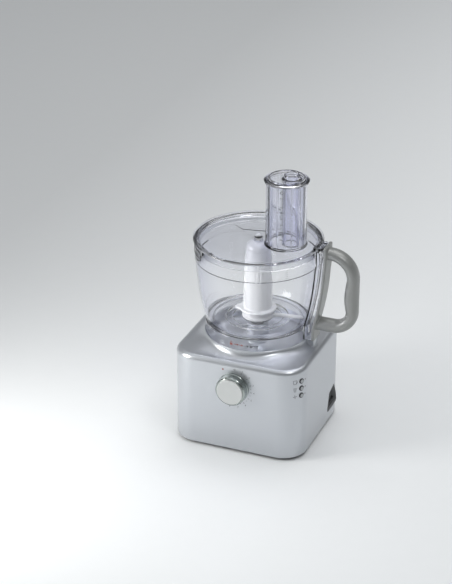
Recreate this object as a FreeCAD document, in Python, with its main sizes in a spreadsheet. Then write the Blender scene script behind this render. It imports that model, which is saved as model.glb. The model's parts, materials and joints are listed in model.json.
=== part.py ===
import FreeCAD, Part
import math
import os
import Sketcher
from types import SimpleNamespace

Vector = FreeCAD.Vector
Rotation = FreeCAD.Rotation
Placement = FreeCAD.Placement
Z_AXIS = Vector(0, 0, 1)

os.makedirs("parts", exist_ok=True)
doc = FreeCAD.newDocument("food_processor")
sheet = doc.addObject("Spreadsheet::Sheet", "Sizes")

# Millimetres and degrees. Z is up, the front is -Y, and the drive axis stands on the origin.
SIZES = {
    # base
    "side_room": 25.5, "front_room": 21, "base_corner": 38, "deck_height": 153, "deck_round": 8,
    "housing_bottom": 5, "housing_wall": 3, "collar_height": 166, "collar_flare": 12,
    "seat_depth": 18, "seat_floor": 3, "collar_lip": 1.4, "seat_play": 0.6,
    "tower_radius": 17, "tower_rise": 24, "cover_thickness": 3.5, "cover_play": 0.4,
    "foot_height": 4.5, "foot_radius": 11, "foot_inset": 24,
    "screw_radius": 1.6, "screw_head_radius": 3, "screw_length": 26, "pillar_radius": 5, "pillar_front": 50,
    "pillar_back": 15,
    "grip_depth": 14, "grip_wall": 2, "grip_front": 30, "grip_back": 77, "grip_low": 20, "grip_top": 58,
    "gland_radius": 7, "gland_bore": 3.6, "gland_height": 32, "gland_out": 7, "gland_flange": 10,
    # controls
    "dial_height": 112, "dial_radius": 24.5, "dial_depth": 16, "dial_wall": 2.4, "dial_gap": 0.5,
    "dial_shaft_radius": 3, "dial_shaft_length": 32,
    "button_top": 133.5, "button_spacing": 12, "button_angle": 63, "button_radius": 2.7,
    "button_flange": 3.6, "bezel_radius": 4.2, "bezel_proud": 1.2, "button_proud": 2, "lens_radius": 1,
    "lens_offset": 8.5, "board_thickness": 1.6, "plunger_radius": 2.8, "plunger_lift": 5, "turret_half": 8,
    # drive
    "running_play": 0.05, "spindle_radius": 5, "bush_wall": 5, "pulley_low": 18, "pulley_width": 12,
    "drive_pulley_radius": 36, "motor_pulley_radius": 6, "belt_thickness": 1.6, "belt_play": 0.1,
    "motor_left": 50, "motor_back": 48, "motor_width": 60, "motor_shaft_radius": 3, "stack_low": 62,
    "stack_height": 44, "armature_radius": 18.6, "air_gap": 0.6, "bracket_thickness": 4, "bracket_low": 34,
    "bracket_high": 122, "mount_reach": 24, "drive_shaft_radius": 7, "drive_shaft_top": 282, "hex_across": 10,
    "hex_length": 20, "hex_play": 0.3,
    # bowl
    "skirt_radius": 79, "bowl_wall": 2.6, "floor_rise": 17.5, "floor_inset": 1, "floor_thickness": 3,
    "taper_height": 102, "bowl_flare": 15.3, "taper_curve": 424, "zone_step": 1.2, "zone_height": 29,
    "outer_ridge": 49, "inner_ridge": 39,
    "tube_radius": 15.5, "tube_wall": 2.5, "tube_top": 236, "stack_gap": 0.4,
    "boss_depth": 11.5, "boss_half": 13, "rod_slot": 6, "rod_half": 2.5, "rod_thickness": 2, "rod_play": 0.4,
    "plate_thickness": 5, "plate_half": 15, "plate_rise": 4.5,
    "handle_room": 64, "handle_half": 12, "handle_thick": 19, "handle_round": 6.5, "handle_bulge": 4.5,
    "handle_corner": 45, "handle_heel": 38, "arm_height": 17,
    # lid
    "ring_overhang": 2.5, "ring_width": 8.5, "ring_thickness": 2.8, "lid_recess": 4, "lid_thickness": 2.5,
    "lid_skirt": 12, "lid_skirt_wall": 2.3, "lid_play": 0.6, "tab_overhang": 10.1,
    "tab_half": 15, "tab_height": 3.2, "tab_ramp": 1.3, "bearing_radius": 5.95, "bearing_flange": 7.5,
    "knob_radius": 6,
    "feed_offset": 43.5, "feed_radius": 30.5, "feed_wall": 2.5, "feed_rise": 97, "feed_flare": 2,
    "pusher_play": 0.4, "pusher_wall": 2.2, "small_share": 0.55, "small_shift": 0.315,
    "small_wall": 2,
    # tool
    "column_low": 22.3, "column_middle": 21.2, "column_high": 18.7, "column_drop": 22, "column_bore": 16.2, "insert_radius": 14,
    "tool_gap": 1, "tool_ring": 24, "wing_height": 3.6, "wing_reach": 34.5, "disc_radius": 28.5, "wing_half": 8, "wing_low": 12,
    "arm_reach": 70, "arm_thin": 5, "arm_half": 3.5, "neck_radius": 4.6,
}
WING_ANGLE = 202
ARM_ANGLE = 10
FRONT = "XZ_Plane"
PLAN = "XY_Plane"
SIDE = "YZ_Plane"


class Measure:
    """A size as a number, and as the expression on the sheet that gives it."""

    def __init__(self, value, text):
        self.value = value
        self.text = text

    def __add__(self, other):
        other = measure(other)
        return Measure(self.value + other.value, f"({self.text} + {other.text})")

    def __sub__(self, other):
        other = measure(other)
        return Measure(self.value - other.value, f"({self.text} - {other.text})")

    def __mul__(self, other):
        other = measure(other)
        return Measure(self.value * other.value, f"({self.text} * {other.text})")

    def __truediv__(self, other):
        other = measure(other)
        return Measure(self.value / other.value, f"({self.text} / {other.text})")

    def __neg__(self):
        return Measure(-self.value, f"(0 - {self.text})")

    __radd__ = __add__
    __rmul__ = __mul__

    def __rsub__(self, other):
        return measure(other) - self


def measure(number):
    if isinstance(number, Measure):
        return number
    if number < 0:
        return Measure(float(number), f"(0 - {-number})")
    return Measure(float(number), str(number))


for row, (name, number) in enumerate(SIZES.items(), start=1):
    sheet.set(f"A{row}", name)
    sheet.set(f"B{row}", str(number))
    sheet.setAlias(f"B{row}", name)
s = SimpleNamespace(**{name: Measure(float(number), "Sizes." + name) for name, number in SIZES.items()})
doc.recompute()

subparts = []


# ---- tools of the bench ----

def bind(item, prop, size):
    item.setExpression(prop, measure(size).text)


def move(item, x=0, y=0, z=0, rotation=None):
    """Place an object at named sizes, turned first if a rotation is given."""
    place = [measure(v) for v in (x, y, z)]
    item.Placement = Placement(Vector(*[p.value for p in place]), rotation or Rotation())
    for letter, p in zip("xyz", place):
        bind(item, "Placement.Base." + letter, p)


def finish(item, label):
    """Keep an object as a sub-part under its own label."""
    item.Label = label
    subparts.append(item)
    return item


def new_body(label):
    return doc.addObject("PartDesign::Body", label)


def new_sketch(body, plane, offset=0, turn=0, turn_axis=Z_AXIS):
    """A sketch on one of the body's own planes, moved along the plane's normal and turned."""
    sketch = body.newObject("Sketcher::SketchObject", body.Name + "_sketch")
    support = next(f for f in body.Origin.OriginFeatures if f.Role == plane)
    sketch.AttachmentSupport = [(support, "")]
    sketch.MapMode = "FlatFace"
    offset = measure(offset)
    sketch.AttachmentOffset = Placement(Vector(0, 0, offset.value), Rotation(turn_axis, turn))
    bind(sketch, "AttachmentOffset.Base.z", offset)
    return sketch


def pin_point(sketch, geometry, end, x, y, tag):
    """Hold one end of an edge at x, y from the sketch's origin."""
    for axis, size in (("X", measure(x)), ("Y", measure(y))):
        rule = Sketcher.Constraint("Distance" + axis, -1, 1, geometry, end, size.value)
        index = sketch.addConstraint(rule)
        name = f"{tag}_{axis}"
        sketch.renameConstraint(index, name)
        bind(sketch, "Constraints." + name, size)


def outline(sketch, corners):
    """A closed outline. A third value makes the edge that leaves a corner an arc of that radius, which
    bows to the right of its direction, or to the left where it is negative."""
    ends = []
    count = len(corners)
    for i, corner in enumerate(corners):
        x, y = [measure(v).value for v in corner[:2]]
        u, v = [measure(w).value for w in corners[(i + 1) % count][:2]]
        if len(corner) == 2:
            edge = sketch.addGeometry(Part.LineSegment(Vector(x, y, 0), Vector(u, v, 0)))
            ends.append((edge, 1, 2))
            continue
        radius = measure(corner[2])
        size = abs(radius.value)
        right = 1 if radius.value > 0 else -1
        chord = math.hypot(u - x, v - y)
        rise = math.sqrt(max(size ** 2 - chord ** 2 / 4, 0))
        normal = Vector(v - y, x - u, 0).normalize() * right
        centre = Vector((x + u) / 2, (y + v) / 2, 0) - normal * rise
        first = math.atan2(y - centre.y, x - centre.x)
        last = math.atan2(v - centre.y, u - centre.x)
        start, end = (first, last) if right > 0 else (last, first)
        if end <= start:
            end += 2 * math.pi
        edge = sketch.addGeometry(Part.ArcOfCircle(Part.Circle(centre, Z_AXIS, size), start, end))
        ends.append((edge, 1, 2) if right > 0 else (edge, 2, 1))
        index = sketch.addConstraint(Sketcher.Constraint("Radius", edge, size))
        sketch.renameConstraint(index, f"arc{i}")
        bind(sketch, f"Constraints.arc{i}", radius if right > 0 else -radius)
    for i, corner in enumerate(corners):
        edge, start, end = ends[i]
        following = ends[(i + 1) % count]
        sketch.addConstraint(Sketcher.Constraint("Coincident", edge, end, following[0], following[1]))
        pin_point(sketch, edge, start, corner[0], corner[1], f"p{i}")
    return sketch


def circles(sketch, radius, centres):
    """Circles of one radius at the centres."""
    radius = measure(radius)
    for i, (x, y) in enumerate(centres):
        x, y = measure(x), measure(y)
        edge = sketch.addGeometry(Part.Circle(Vector(x.value, y.value, 0), Z_AXIS, radius.value))
        index = sketch.addConstraint(Sketcher.Constraint("Radius", edge, radius.value))
        sketch.renameConstraint(index, f"r{i}")
        bind(sketch, f"Constraints.r{i}", radius)
        pin_point(sketch, edge, 3, x, y, f"c{i}")
    return sketch


def rectangle(sketch, left, right, low, high):
    return outline(sketch, [(left, low), (right, low), (right, high), (left, high)])


def rounded_plan(sketch, inset=0):
    """The base's rounded square seen from above, drawn in by the inset."""
    across = s.base_width / 2 - inset
    deep = s.base_depth / 2 - inset
    radius = s.base_corner - inset
    flat = s.base_width / 2 - s.base_corner
    side = s.base_depth / 2 - s.base_corner
    return outline(sketch, [
        (-flat, -deep), (flat, -deep, radius), (across, -side), (across, side, radius),
        (flat, deep), (-flat, deep, radius), (-across, side), (-across, -side, radius)])


def check_volume(feature, before, grows):
    doc.recompute()
    change = feature.Shape.Volume - before
    if (change > 0) != grows or abs(change) < 1e-3:
        raise ValueError(f"{feature.Name} changed its body's volume by {change:.3f}")
    return feature


def pad(body, sketch, length, middle=False, back=False):
    before = body.Shape.Volume if body.Tip else 0
    feature = body.newObject("PartDesign::Pad", body.Name + "_pad")
    feature.Profile = sketch
    bind(feature, "Length", length)
    feature.SideType = "Symmetric" if middle else "One side"
    feature.Reversed = back
    return check_volume(feature, before, True)


def pocket(body, sketch, length, middle=False, back=False):
    before = body.Shape.Volume
    feature = body.newObject("PartDesign::Pocket", body.Name + "_pocket")
    feature.Profile = sketch
    bind(feature, "Length", length)
    feature.SideType = "Symmetric" if middle else "One side"
    feature.Reversed = back
    return check_volume(feature, before, False)


def revolve(body, corners, groove=False):
    """Turn an outline of radius and height about the body's upright axis."""
    doc.recompute()
    before = body.Shape.Volume if body.Tip else 0
    sketch = outline(new_sketch(body, FRONT), corners)
    kind = "PartDesign::Groove" if groove else "PartDesign::Revolution"
    feature = body.newObject(kind, body.Name + "_turn")
    feature.Profile = sketch
    feature.ReferenceAxis = (sketch, ["V_Axis"])
    feature.Angle = 360
    return check_volume(feature, before, not groove)


def fillet(body, radius, test):
    """Round the edges of the body's last feature that the test picks."""
    doc.recompute()
    base = body.Tip
    names = [f"Edge{i}" for i, edge in enumerate(base.Shape.Edges, start=1) if test(edge)]
    feature = body.newObject("PartDesign::Fillet", body.Name + "_fillet")
    feature.Base = (base, names)
    bind(feature, "Radius", radius)
    doc.recompute()
    return feature


def pattern(body, feature, count):
    """Repeat a feature round the body's upright axis."""
    before = body.Shape.Volume
    repeat = body.newObject("PartDesign::PolarPattern", body.Name + "_pattern")
    repeat.Originals = [feature]
    repeat.Axis = (next(f for f in body.Origin.OriginFeatures if f.Role == "Z_Axis"), [""])
    repeat.Angle = 360
    repeat.Occurrences = count
    body.Tip = repeat
    doc.recompute()
    if abs(repeat.Shape.Volume - before) < 1e-3:
        raise ValueError(repeat.Name + " repeats nothing")
    return repeat


def turned(label, corners, x=0, y=0, z=0, rotation=None):
    """A sub-part turned on a lathe: radius and height of each corner."""
    body = new_body(label)
    revolve(body, corners)
    if x or y or z or rotation:
        move(body, x, y, z, rotation)
    return finish(body, label)


def ring_corners(inner, outer, low, high):
    return [(inner, low), (outer, low), (outer, high), (inner, high)]


def cylinder(name, radius, length, x=0, y=0, z=0, rotation=None):
    item = doc.addObject("Part::Cylinder", name)
    bind(item, "Radius", radius)
    bind(item, "Height", length)
    move(item, x, y, z, rotation)
    return item


def block(name, low, high):
    """A box from its low corner to its high corner."""
    item = doc.addObject("Part::Box", name)
    for prop, a, b in zip(("Length", "Width", "Height"), low, high):
        bind(item, prop, measure(b) - a)
    move(item, *low)
    return item


def cut(name, base, tools):
    tool = tools[0] if len(tools) == 1 else join(name + "_tools", tools)
    item = doc.addObject("Part::Cut", name)
    item.Base = base
    item.Tool = tool
    return item


def join(name, items):
    item = doc.addObject("Part::MultiFuse", name)
    item.Shapes = items
    return item


def group(label, items):
    """Separate solids kept together as one sub-part."""
    item = doc.addObject("Part::Compound", label)
    item.Links = items
    return finish(item, label)


FACING_FRONT = Rotation(Vector(1, 0, 0), 90)   # turns +Z to -Y
FACING_BACK = Rotation(Vector(1, 0, 0), -90)   # turns +Z to +Y

# ---- heights and radii that several pieces share ----

s.base_width = (s.skirt_radius + s.side_room) * 2
s.base_depth = (s.skirt_radius + s.front_room) * 2
s.floor_radius = s.skirt_radius - s.floor_inset
s.taper_radius = s.skirt_radius + s.bowl_flare
s.zone_radius = s.taper_radius + s.zone_step
s.ring_radius = s.zone_radius + s.ring_overhang
s.ring_inner = s.ring_radius - s.ring_width
s.handle_reach = s.zone_radius + s.handle_room
s.tab_reach = s.zone_radius + s.tab_overhang
pusher_bore = s.feed_radius - s.feed_wall - s.pusher_play - s.pusher_wall
s.small_radius = pusher_bore * s.small_share
s.small_offset = pusher_bore * s.small_shift

seat_top = s.collar_height - s.seat_depth
seat_radius = s.skirt_radius + s.seat_play
collar_radius = seat_radius + s.collar_lip
tower_top = seat_top + s.tower_rise
inner_bottom = s.foot_height + s.cover_thickness
bowl_foot = seat_top + s.stack_gap
bowl_floor = s.collar_height + s.floor_rise
floor_top = bowl_floor + s.floor_thickness
step_height = bowl_floor + s.taper_height
wall_top = step_height + s.zone_height
ring_low = wall_top + s.stack_gap * 1.75
rim = ring_low + s.ring_thickness
plate_top = rim - s.lid_recess
plate_low = plate_top - s.lid_thickness
boss_foot = s.collar_height + s.stack_gap
rod_x = s.skirt_radius + s.boss_depth - s.rod_play - s.rod_thickness / 2
motor_x = -s.motor_left
motor_y = s.motor_back
front_face = s.base_depth / 2
CORNERS = [(i, j) for i in (-1, 1) for j in (-1, 1)]
pillar_reach = s.base_width / 2 - s.housing_wall - s.pillar_radius + 1
PILLARS = [(side * pillar_reach, y) for side in (-1, 1) for y in (-s.pillar_front, s.pillar_back)]


# ---- base: housing, cover, feet ----

def side_recess(sketch, inset):
    """The arched outline of the hand recess, drawn in by the inset."""
    low = s.grip_low + inset
    high = s.grip_top - inset
    front = s.grip_front + inset
    back = s.grip_back - inset
    slope = (s.grip_back - s.grip_front) / 5
    return outline(sketch, [
        (front, low), (back, low), (back - slope / 2, (low + high) / 2),
        (back - slope * 1.6, high), (front + slope, high - slope / 1.6)])


def make_housing():
    body = new_body("housing")
    pad(body, rounded_plan(new_sketch(body, PLAN, s.housing_bottom)), s.deck_height - s.housing_bottom)
    deck = s.deck_height.value
    fillet(body, s.deck_round, lambda e: abs(e.BoundBox.ZMin - deck) < 0.01 and e.BoundBox.ZLength < 0.01)
    inside = s.deck_height - s.housing_wall - s.housing_bottom
    pocket(body, rounded_plan(new_sketch(body, PLAN, s.housing_bottom), s.housing_wall), inside, back=True)
    low = seat_top - s.seat_floor
    revolve(body, ring_corners(0, seat_radius, low, s.deck_height + 1), groove=True)
    hole = s.spindle_radius + s.bush_wall
    revolve(body, [
        (hole, low), (collar_radius, low), (collar_radius, s.deck_height - s.housing_wall),
        (collar_radius + s.collar_flare, s.deck_height - s.housing_wall),
        (collar_radius + s.collar_flare, s.deck_height, -s.collar_flare),
        (collar_radius, s.deck_height + s.collar_flare), (collar_radius, s.collar_height),
        (seat_radius, s.collar_height), (seat_radius, seat_top), (s.tower_radius, seat_top),
        (s.tower_radius, tower_top), (hole, tower_top)])
    # screw pillars down both sides
    foot = inner_bottom + s.stack_gap
    pad(body, circles(new_sketch(body, PLAN, foot), s.pillar_radius, PILLARS),
        s.deck_height - s.housing_wall / 2 - foot)
    pocket(body, circles(new_sketch(body, PLAN, foot), s.screw_radius, PILLARS), s.screw_length, back=True)
    # dial shaft at the front, cord gland at the back
    dial = new_sketch(body, FRONT, front_face - s.housing_wall * 2)
    dial = circles(dial, s.dial_shaft_radius + s.running_play, [(0, s.dial_height)])
    pocket(body, dial, s.housing_wall * 3, back=True)
    gland = circles(new_sketch(body, FRONT, -front_face - 1), s.gland_radius, [(motor_x, s.gland_height)])
    pocket(body, gland, s.housing_wall * 2, back=True)
    # buttons and their lenses on the front right corner
    for radius, offset in ((s.bezel_radius, 0), (s.lens_radius, s.lens_offset)):
        spots = [(button_tangent + offset, s.button_top - s.button_spacing * i) for i in range(3)]
        holes = new_sketch(body, FRONT, 0, button_turn, Vector(0, 1, 0))
        holes = circles(holes, radius, spots)
        pocket(body, holes, s.base_width, back=True)
    # hand recesses low on the sides
    for side in (-1, 1):
        recess = side_recess(new_sketch(body, SIDE, side * s.base_width / 2), 0)
        pocket(body, recess, s.grip_depth * 2, middle=True)
    # turret with the slot for the interlock plunger
    turret = new_sketch(body, PLAN, s.deck_height - 1)
    outer = rod_x + s.plunger_radius + 2.5
    rectangle(turret, collar_radius - s.collar_lip / 2, outer, -s.turret_half, s.turret_half)
    pad(body, turret, s.collar_height - s.deck_height + 1)
    slot = circles(new_sketch(body, PLAN, s.collar_height), s.plunger_radius + 0.3, [(rod_x, 0)])
    pocket(body, slot, s.collar_height - s.deck_height + s.housing_wall * 2)
    return finish(body, "housing")


button_turn = s.button_angle.value
button_normal = Vector(math.sin(math.radians(button_turn)), -math.cos(math.radians(button_turn)), 0)
corner_x = s.base_width / 2 - s.base_corner
corner_y = s.base_corner - s.base_depth / 2
button_tangent = corner_x * -button_normal.y + corner_y * button_normal.x
button_facing = Rotation(Z_AXIS, button_normal)


def at_button(i, depth, along=0):
    """A place on a button's axis, so far from the corner's upright axis and along the face."""
    x = corner_x + button_normal.x * depth - along * button_normal.y
    y = corner_y + button_normal.y * depth + along * button_normal.x
    return x, y, s.button_top - s.button_spacing * i


def make_cover():
    inset = s.housing_wall + s.cover_play
    body = new_body("base_cover")
    pad(body, rounded_plan(new_sketch(body, PLAN, s.foot_height), inset), s.cover_thickness)
    boss = s.spindle_radius + s.bush_wall + s.housing_wall
    pad(body, circles(new_sketch(body, PLAN, inner_bottom), boss, [(0, 0)]), s.pulley_low - 2 - inner_bottom)
    revolve(body, ring_corners(0, s.spindle_radius + s.bush_wall, inner_bottom, s.pulley_low), groove=True)
    pad(body, circles(new_sketch(body, PLAN, inner_bottom), 6, MOUNTS), s.bracket_low - 6 - inner_bottom)
    pocket(body, circles(new_sketch(body, PLAN, s.foot_height), s.screw_radius, PILLARS), s.cover_thickness,
           back=True)
    # air slots under the motor and beside it
    for i in range(7):
        slot_y = motor_y - 27 + 9 * i
        slot = new_sketch(body, PLAN, s.foot_height)
        rectangle(slot, motor_x - 15, motor_x + 12, slot_y, slot_y + 3.5)
        pocket(body, slot, s.cover_thickness, back=True)
    return finish(body, "base_cover")


MOUNTS = [(motor_x + i * s.mount_reach, motor_y + j * s.mount_reach) for i, j in ((-1, -1), (-1, 1), (1, 1))]


def make_feet():
    pads = []
    for n, (i, j) in enumerate(CORNERS):
        x = i * (s.base_width / 2 - s.foot_inset)
        y = j * (s.base_depth / 2 - s.foot_inset)
        pads.append(cylinder(f"foot_{n}", s.foot_radius, s.foot_height, x, y))
    group("feet", pads)


def make_cover_screws():
    screws = []
    for n, (x, y) in enumerate(PILLARS):
        shank = cylinder(f"screw_shank_{n}", s.screw_radius, s.screw_length, x, y, s.foot_height)
        head = cylinder(f"screw_head_{n}", s.screw_head_radius, 2, x, y, s.foot_height - 2)
        socket = cylinder(f"screw_socket_{n}", s.screw_radius * 0.7, 1.2, x, y, s.foot_height - 2)
        screws.append(cut(f"screw_{n}", join(f"screw_blank_{n}", [head, shank]), [socket]))
    group("cover_screws", screws)


def make_side_grips():
    """A cup behind each hand recess, open outwards and flush with the rounded corner."""
    cups = []
    envelope = new_body("base_envelope")
    plan = rounded_plan(new_sketch(envelope, PLAN, s.housing_bottom))
    pad(envelope, plan, s.deck_height - s.housing_bottom)
    for side, name in ((-1, "left"), (1, "right")):
        body = new_body(f"grip_{name}")
        face = side * s.base_width / 2
        inward = side > 0
        pad(body, side_recess(new_sketch(body, SIDE, face), 0), s.grip_depth, back=inward)
        pocket(body, side_recess(new_sketch(body, SIDE, face), s.grip_wall), s.grip_depth - s.grip_wall,
               back=not inward)
        cup = doc.addObject("Part::Common", f"grip_cup_{name}")
        cup.Base = body
        cup.Tool = envelope
        cups.append(cup)
    group("side_grips", cups)


def make_gland():
    length = s.housing_wall + s.gland_out + 4
    turned("cord_gland", [
        (s.gland_bore, 0), (s.gland_radius, 0), (s.gland_radius, s.housing_wall + 4),
        (s.gland_flange, s.housing_wall + 4), (s.gland_flange, s.housing_wall + 6.5),
        (s.gland_bore + 1.8, length), (s.gland_bore, length)],
        motor_x, s.base_depth / 2 - s.housing_wall - 4, s.gland_height, FACING_BACK)


# ---- motor ----

def make_motor():
    half = s.motor_width / 2
    slot_low = s.armature_radius + s.air_gap + 1
    slot_high = slot_low + 6.5
    stack_top = s.stack_low + s.stack_height
    bolts = [(i * (half - 4), j * (half - 4)) for i, j in CORNERS]

    stator = new_body("motor_stator")
    pad(stator, rectangle(new_sketch(stator, PLAN, s.stack_low), -half, half, -half, half), s.stack_height)
    bore = circles(new_sketch(stator, PLAN, s.stack_low), s.armature_radius + s.air_gap, [(0, 0)])
    pocket(stator, bore, s.stack_height, back=True)
    for side in (-1, 1):
        low, high = (slot_low, slot_high) if side > 0 else (-slot_high, -slot_low)
        window = rectangle(new_sketch(stator, PLAN, s.stack_low), -15.5, 15.5, low, high)
        pocket(stator, window, s.stack_height, back=True)
    pocket(stator, circles(new_sketch(stator, PLAN, s.stack_low), 2, bolts), s.stack_height, back=True)
    move(stator, motor_x, motor_y)
    finish(stator, "motor_stator")

    coils = []
    for n, side in enumerate((-1, 1)):
        low, high = (slot_low, slot_high) if side > 0 else (-slot_high, -slot_low)
        coils.append(block(f"coil_{n}", (motor_x - 15, motor_y + low + 0.3, s.stack_low - 5),
                           (motor_x + 15, motor_y + high - 0.3, stack_top + 3)))
    group("field_coils", coils)

    for label, level, bush_low, posts in (
            ("lower_bracket", s.bracket_low, s.bracket_low, s.bracket_low + s.bracket_thickness),
            ("upper_bracket", s.bracket_high, s.bracket_high - 4, stack_top)):
        bracket = new_body(label)
        flat = rectangle(new_sketch(bracket, PLAN, level), -half, half, -half, half)
        pad(bracket, flat, s.bracket_thickness)
        pad(bracket, circles(new_sketch(bracket, PLAN, bush_low), 11, [(0, 0)]), s.bracket_thickness + 4)
        length = s.stack_low - posts if label == "lower_bracket" else s.bracket_high - posts
        pad(bracket, circles(new_sketch(bracket, PLAN, posts), 4, bolts), length)
        pocket(bracket, circles(new_sketch(bracket, PLAN, 0), 2, bolts), s.bracket_high + 20, back=True)
        pocket(bracket, circles(new_sketch(bracket, PLAN, 0), 8, [(0, 0)]), s.bracket_high + 20, back=True)
        move(bracket, motor_x, motor_y)
        finish(bracket, label)

    bushes = []
    for name, low in (("low", s.bracket_low), ("high", s.bracket_high - 4)):
        outer = cylinder(f"motor_bush_{name}_out", 8, s.bracket_thickness + 4, motor_x, motor_y, low)
        inner = cylinder(f"motor_bush_{name}_bore", s.motor_shaft_radius + s.running_play,
                         s.bracket_thickness + 4, motor_x, motor_y, low)
        bushes.append(cut(f"motor_bush_{name}", outer, [inner]))
    group("motor_bushes", bushes)
    group("motor_bolts", [
        cylinder(f"motor_bolt_{n}", 2, s.bracket_high + s.bracket_thickness + 2 - s.bracket_low,
                 motor_x + x, motor_y + y, s.bracket_low)
        for n, (x, y) in enumerate(bolts)])
    group("motor_mounts", [cylinder(f"motor_mount_{n}", 6, 6, x, y, s.bracket_low - 6)
                           for n, (x, y) in enumerate(MOUNTS)])

    brush_low = s.bracket_high - 11
    holders = []
    brushes = []
    for n, side in enumerate((-1, 1)):
        near, far = (13, 28)
        ends = (motor_x + side * near, motor_x + side * far)
        low, high = ends if side > 0 else ends[::-1]
        front, back = (motor_y - 3, motor_y + 3)
        bore_low, bore_high = (brush_low + 1.5, brush_low + 5.5)
        outer = block(f"holder_{n}_out", (low, front - 2, brush_low), (high, back + 2, brush_low + 7))
        inner = block(f"holder_{n}_bore", (low, front, bore_low), (high, back, bore_high))
        holders.append(cut(f"holder_{n}", outer, [inner]))
        ends = (motor_x + side * 10.1, motor_x + side * 22)
        low, high = ends if side > 0 else ends[::-1]
        brushes.append(block(f"brush_{n}", (low, front, bore_low), (high, back, bore_high)))
    group("brush_holders", holders)
    group("carbon_brushes", brushes)

    shaft = s.motor_shaft_radius
    turned("motor_shaft", ring_corners(0, shaft, s.pulley_low - 1, s.bracket_high + s.bracket_thickness + 2),
           motor_x, motor_y)
    turned("motor_pulley", [
        (shaft, s.pulley_low - 1), (s.motor_pulley_radius + 2, s.pulley_low - 1),
        (s.motor_pulley_radius + 2, s.pulley_low), (s.motor_pulley_radius, s.pulley_low),
        (s.motor_pulley_radius, s.pulley_low + s.pulley_width),
        (s.motor_pulley_radius + 2, s.pulley_low + s.pulley_width),
        (s.motor_pulley_radius + 2, s.pulley_low + s.pulley_width + 1),
        (shaft, s.pulley_low + s.pulley_width + 1)], motor_x, motor_y)
    armature = new_body("armature")
    revolve(armature, ring_corners(shaft, s.armature_radius, s.stack_low, stack_top))
    slot = new_sketch(armature, PLAN, s.stack_low)
    rectangle(slot, s.armature_radius - 5, s.armature_radius + 1, -1, 1)
    groove = pocket(armature, slot, s.stack_height, back=True)
    pattern(armature, groove, 12)
    move(armature, motor_x, motor_y)
    finish(armature, "armature")
    turned("commutator", ring_corners(shaft, 10, stack_top + 2, s.bracket_high - 4.5), motor_x, motor_y)
    fan = new_body("cooling_fan")
    fan_low = s.bracket_low + s.bracket_thickness + 7
    revolve(fan, [(shaft, fan_low), (26, fan_low), (26, fan_low + 1.5), (7, fan_low + 1.5),
                  (7, fan_low + 8), (shaft, fan_low + 8)])
    blade = pad(fan, rectangle(new_sketch(fan, PLAN, fan_low + 1), 6, 25, -0.8, 0.8), 7)
    pattern(fan, blade, 9)
    move(fan, motor_x, motor_y)
    finish(fan, "cooling_fan")


# ---- belt and drive ----

def make_belt():
    """A flat belt round both pulleys: the arcs and the two straight runs that touch them."""
    span = math.hypot(motor_x.value, motor_y.value)
    heading = math.atan2(motor_y.value, motor_x.value)
    inner = (s.drive_pulley_radius.value + s.belt_play.value, s.motor_pulley_radius.value + s.belt_play.value)
    faces = []
    for extra in (s.belt_thickness.value, 0):
        large, small = inner[0] + extra, inner[1] + extra
        lean = math.acos((large - small) / span)
        centre = Vector(motor_x.value, motor_y.value, 0)

        def on_wheel(middle, radius, angle):
            return middle + Vector(math.cos(heading + angle), math.sin(heading + angle), 0) * radius

        origin = Vector(0, 0, 0)
        a, b = on_wheel(origin, large, lean), on_wheel(origin, large, -lean)
        c, d = on_wheel(centre, small, -lean), on_wheel(centre, small, lean)
        edges = [
            Part.Arc(a, on_wheel(origin, large, math.pi), b).toShape(), Part.LineSegment(b, c).toShape(),
            Part.Arc(c, on_wheel(centre, small, 0), d).toShape(), Part.LineSegment(d, a).toShape()]
        faces.append(Part.Face(Part.Wire(edges)))
    item = doc.addObject("Part::Feature", "drive_belt")
    width = s.pulley_width.value - 2
    item.Shape = faces[0].cut(faces[1]).extrude(Vector(0, 0, width))
    move(item, 0, 0, s.pulley_low + 1)
    finish(item, "drive_belt")


def hexagon(sketch, across):
    """A hexagon of this distance across its flats."""
    half = across / 2
    point = across * 0.57735
    return outline(sketch, [(-point / 2, -half), (point / 2, -half), (point, 0), (point / 2, half),
                            (-point / 2, half), (-point, 0)])


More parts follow.
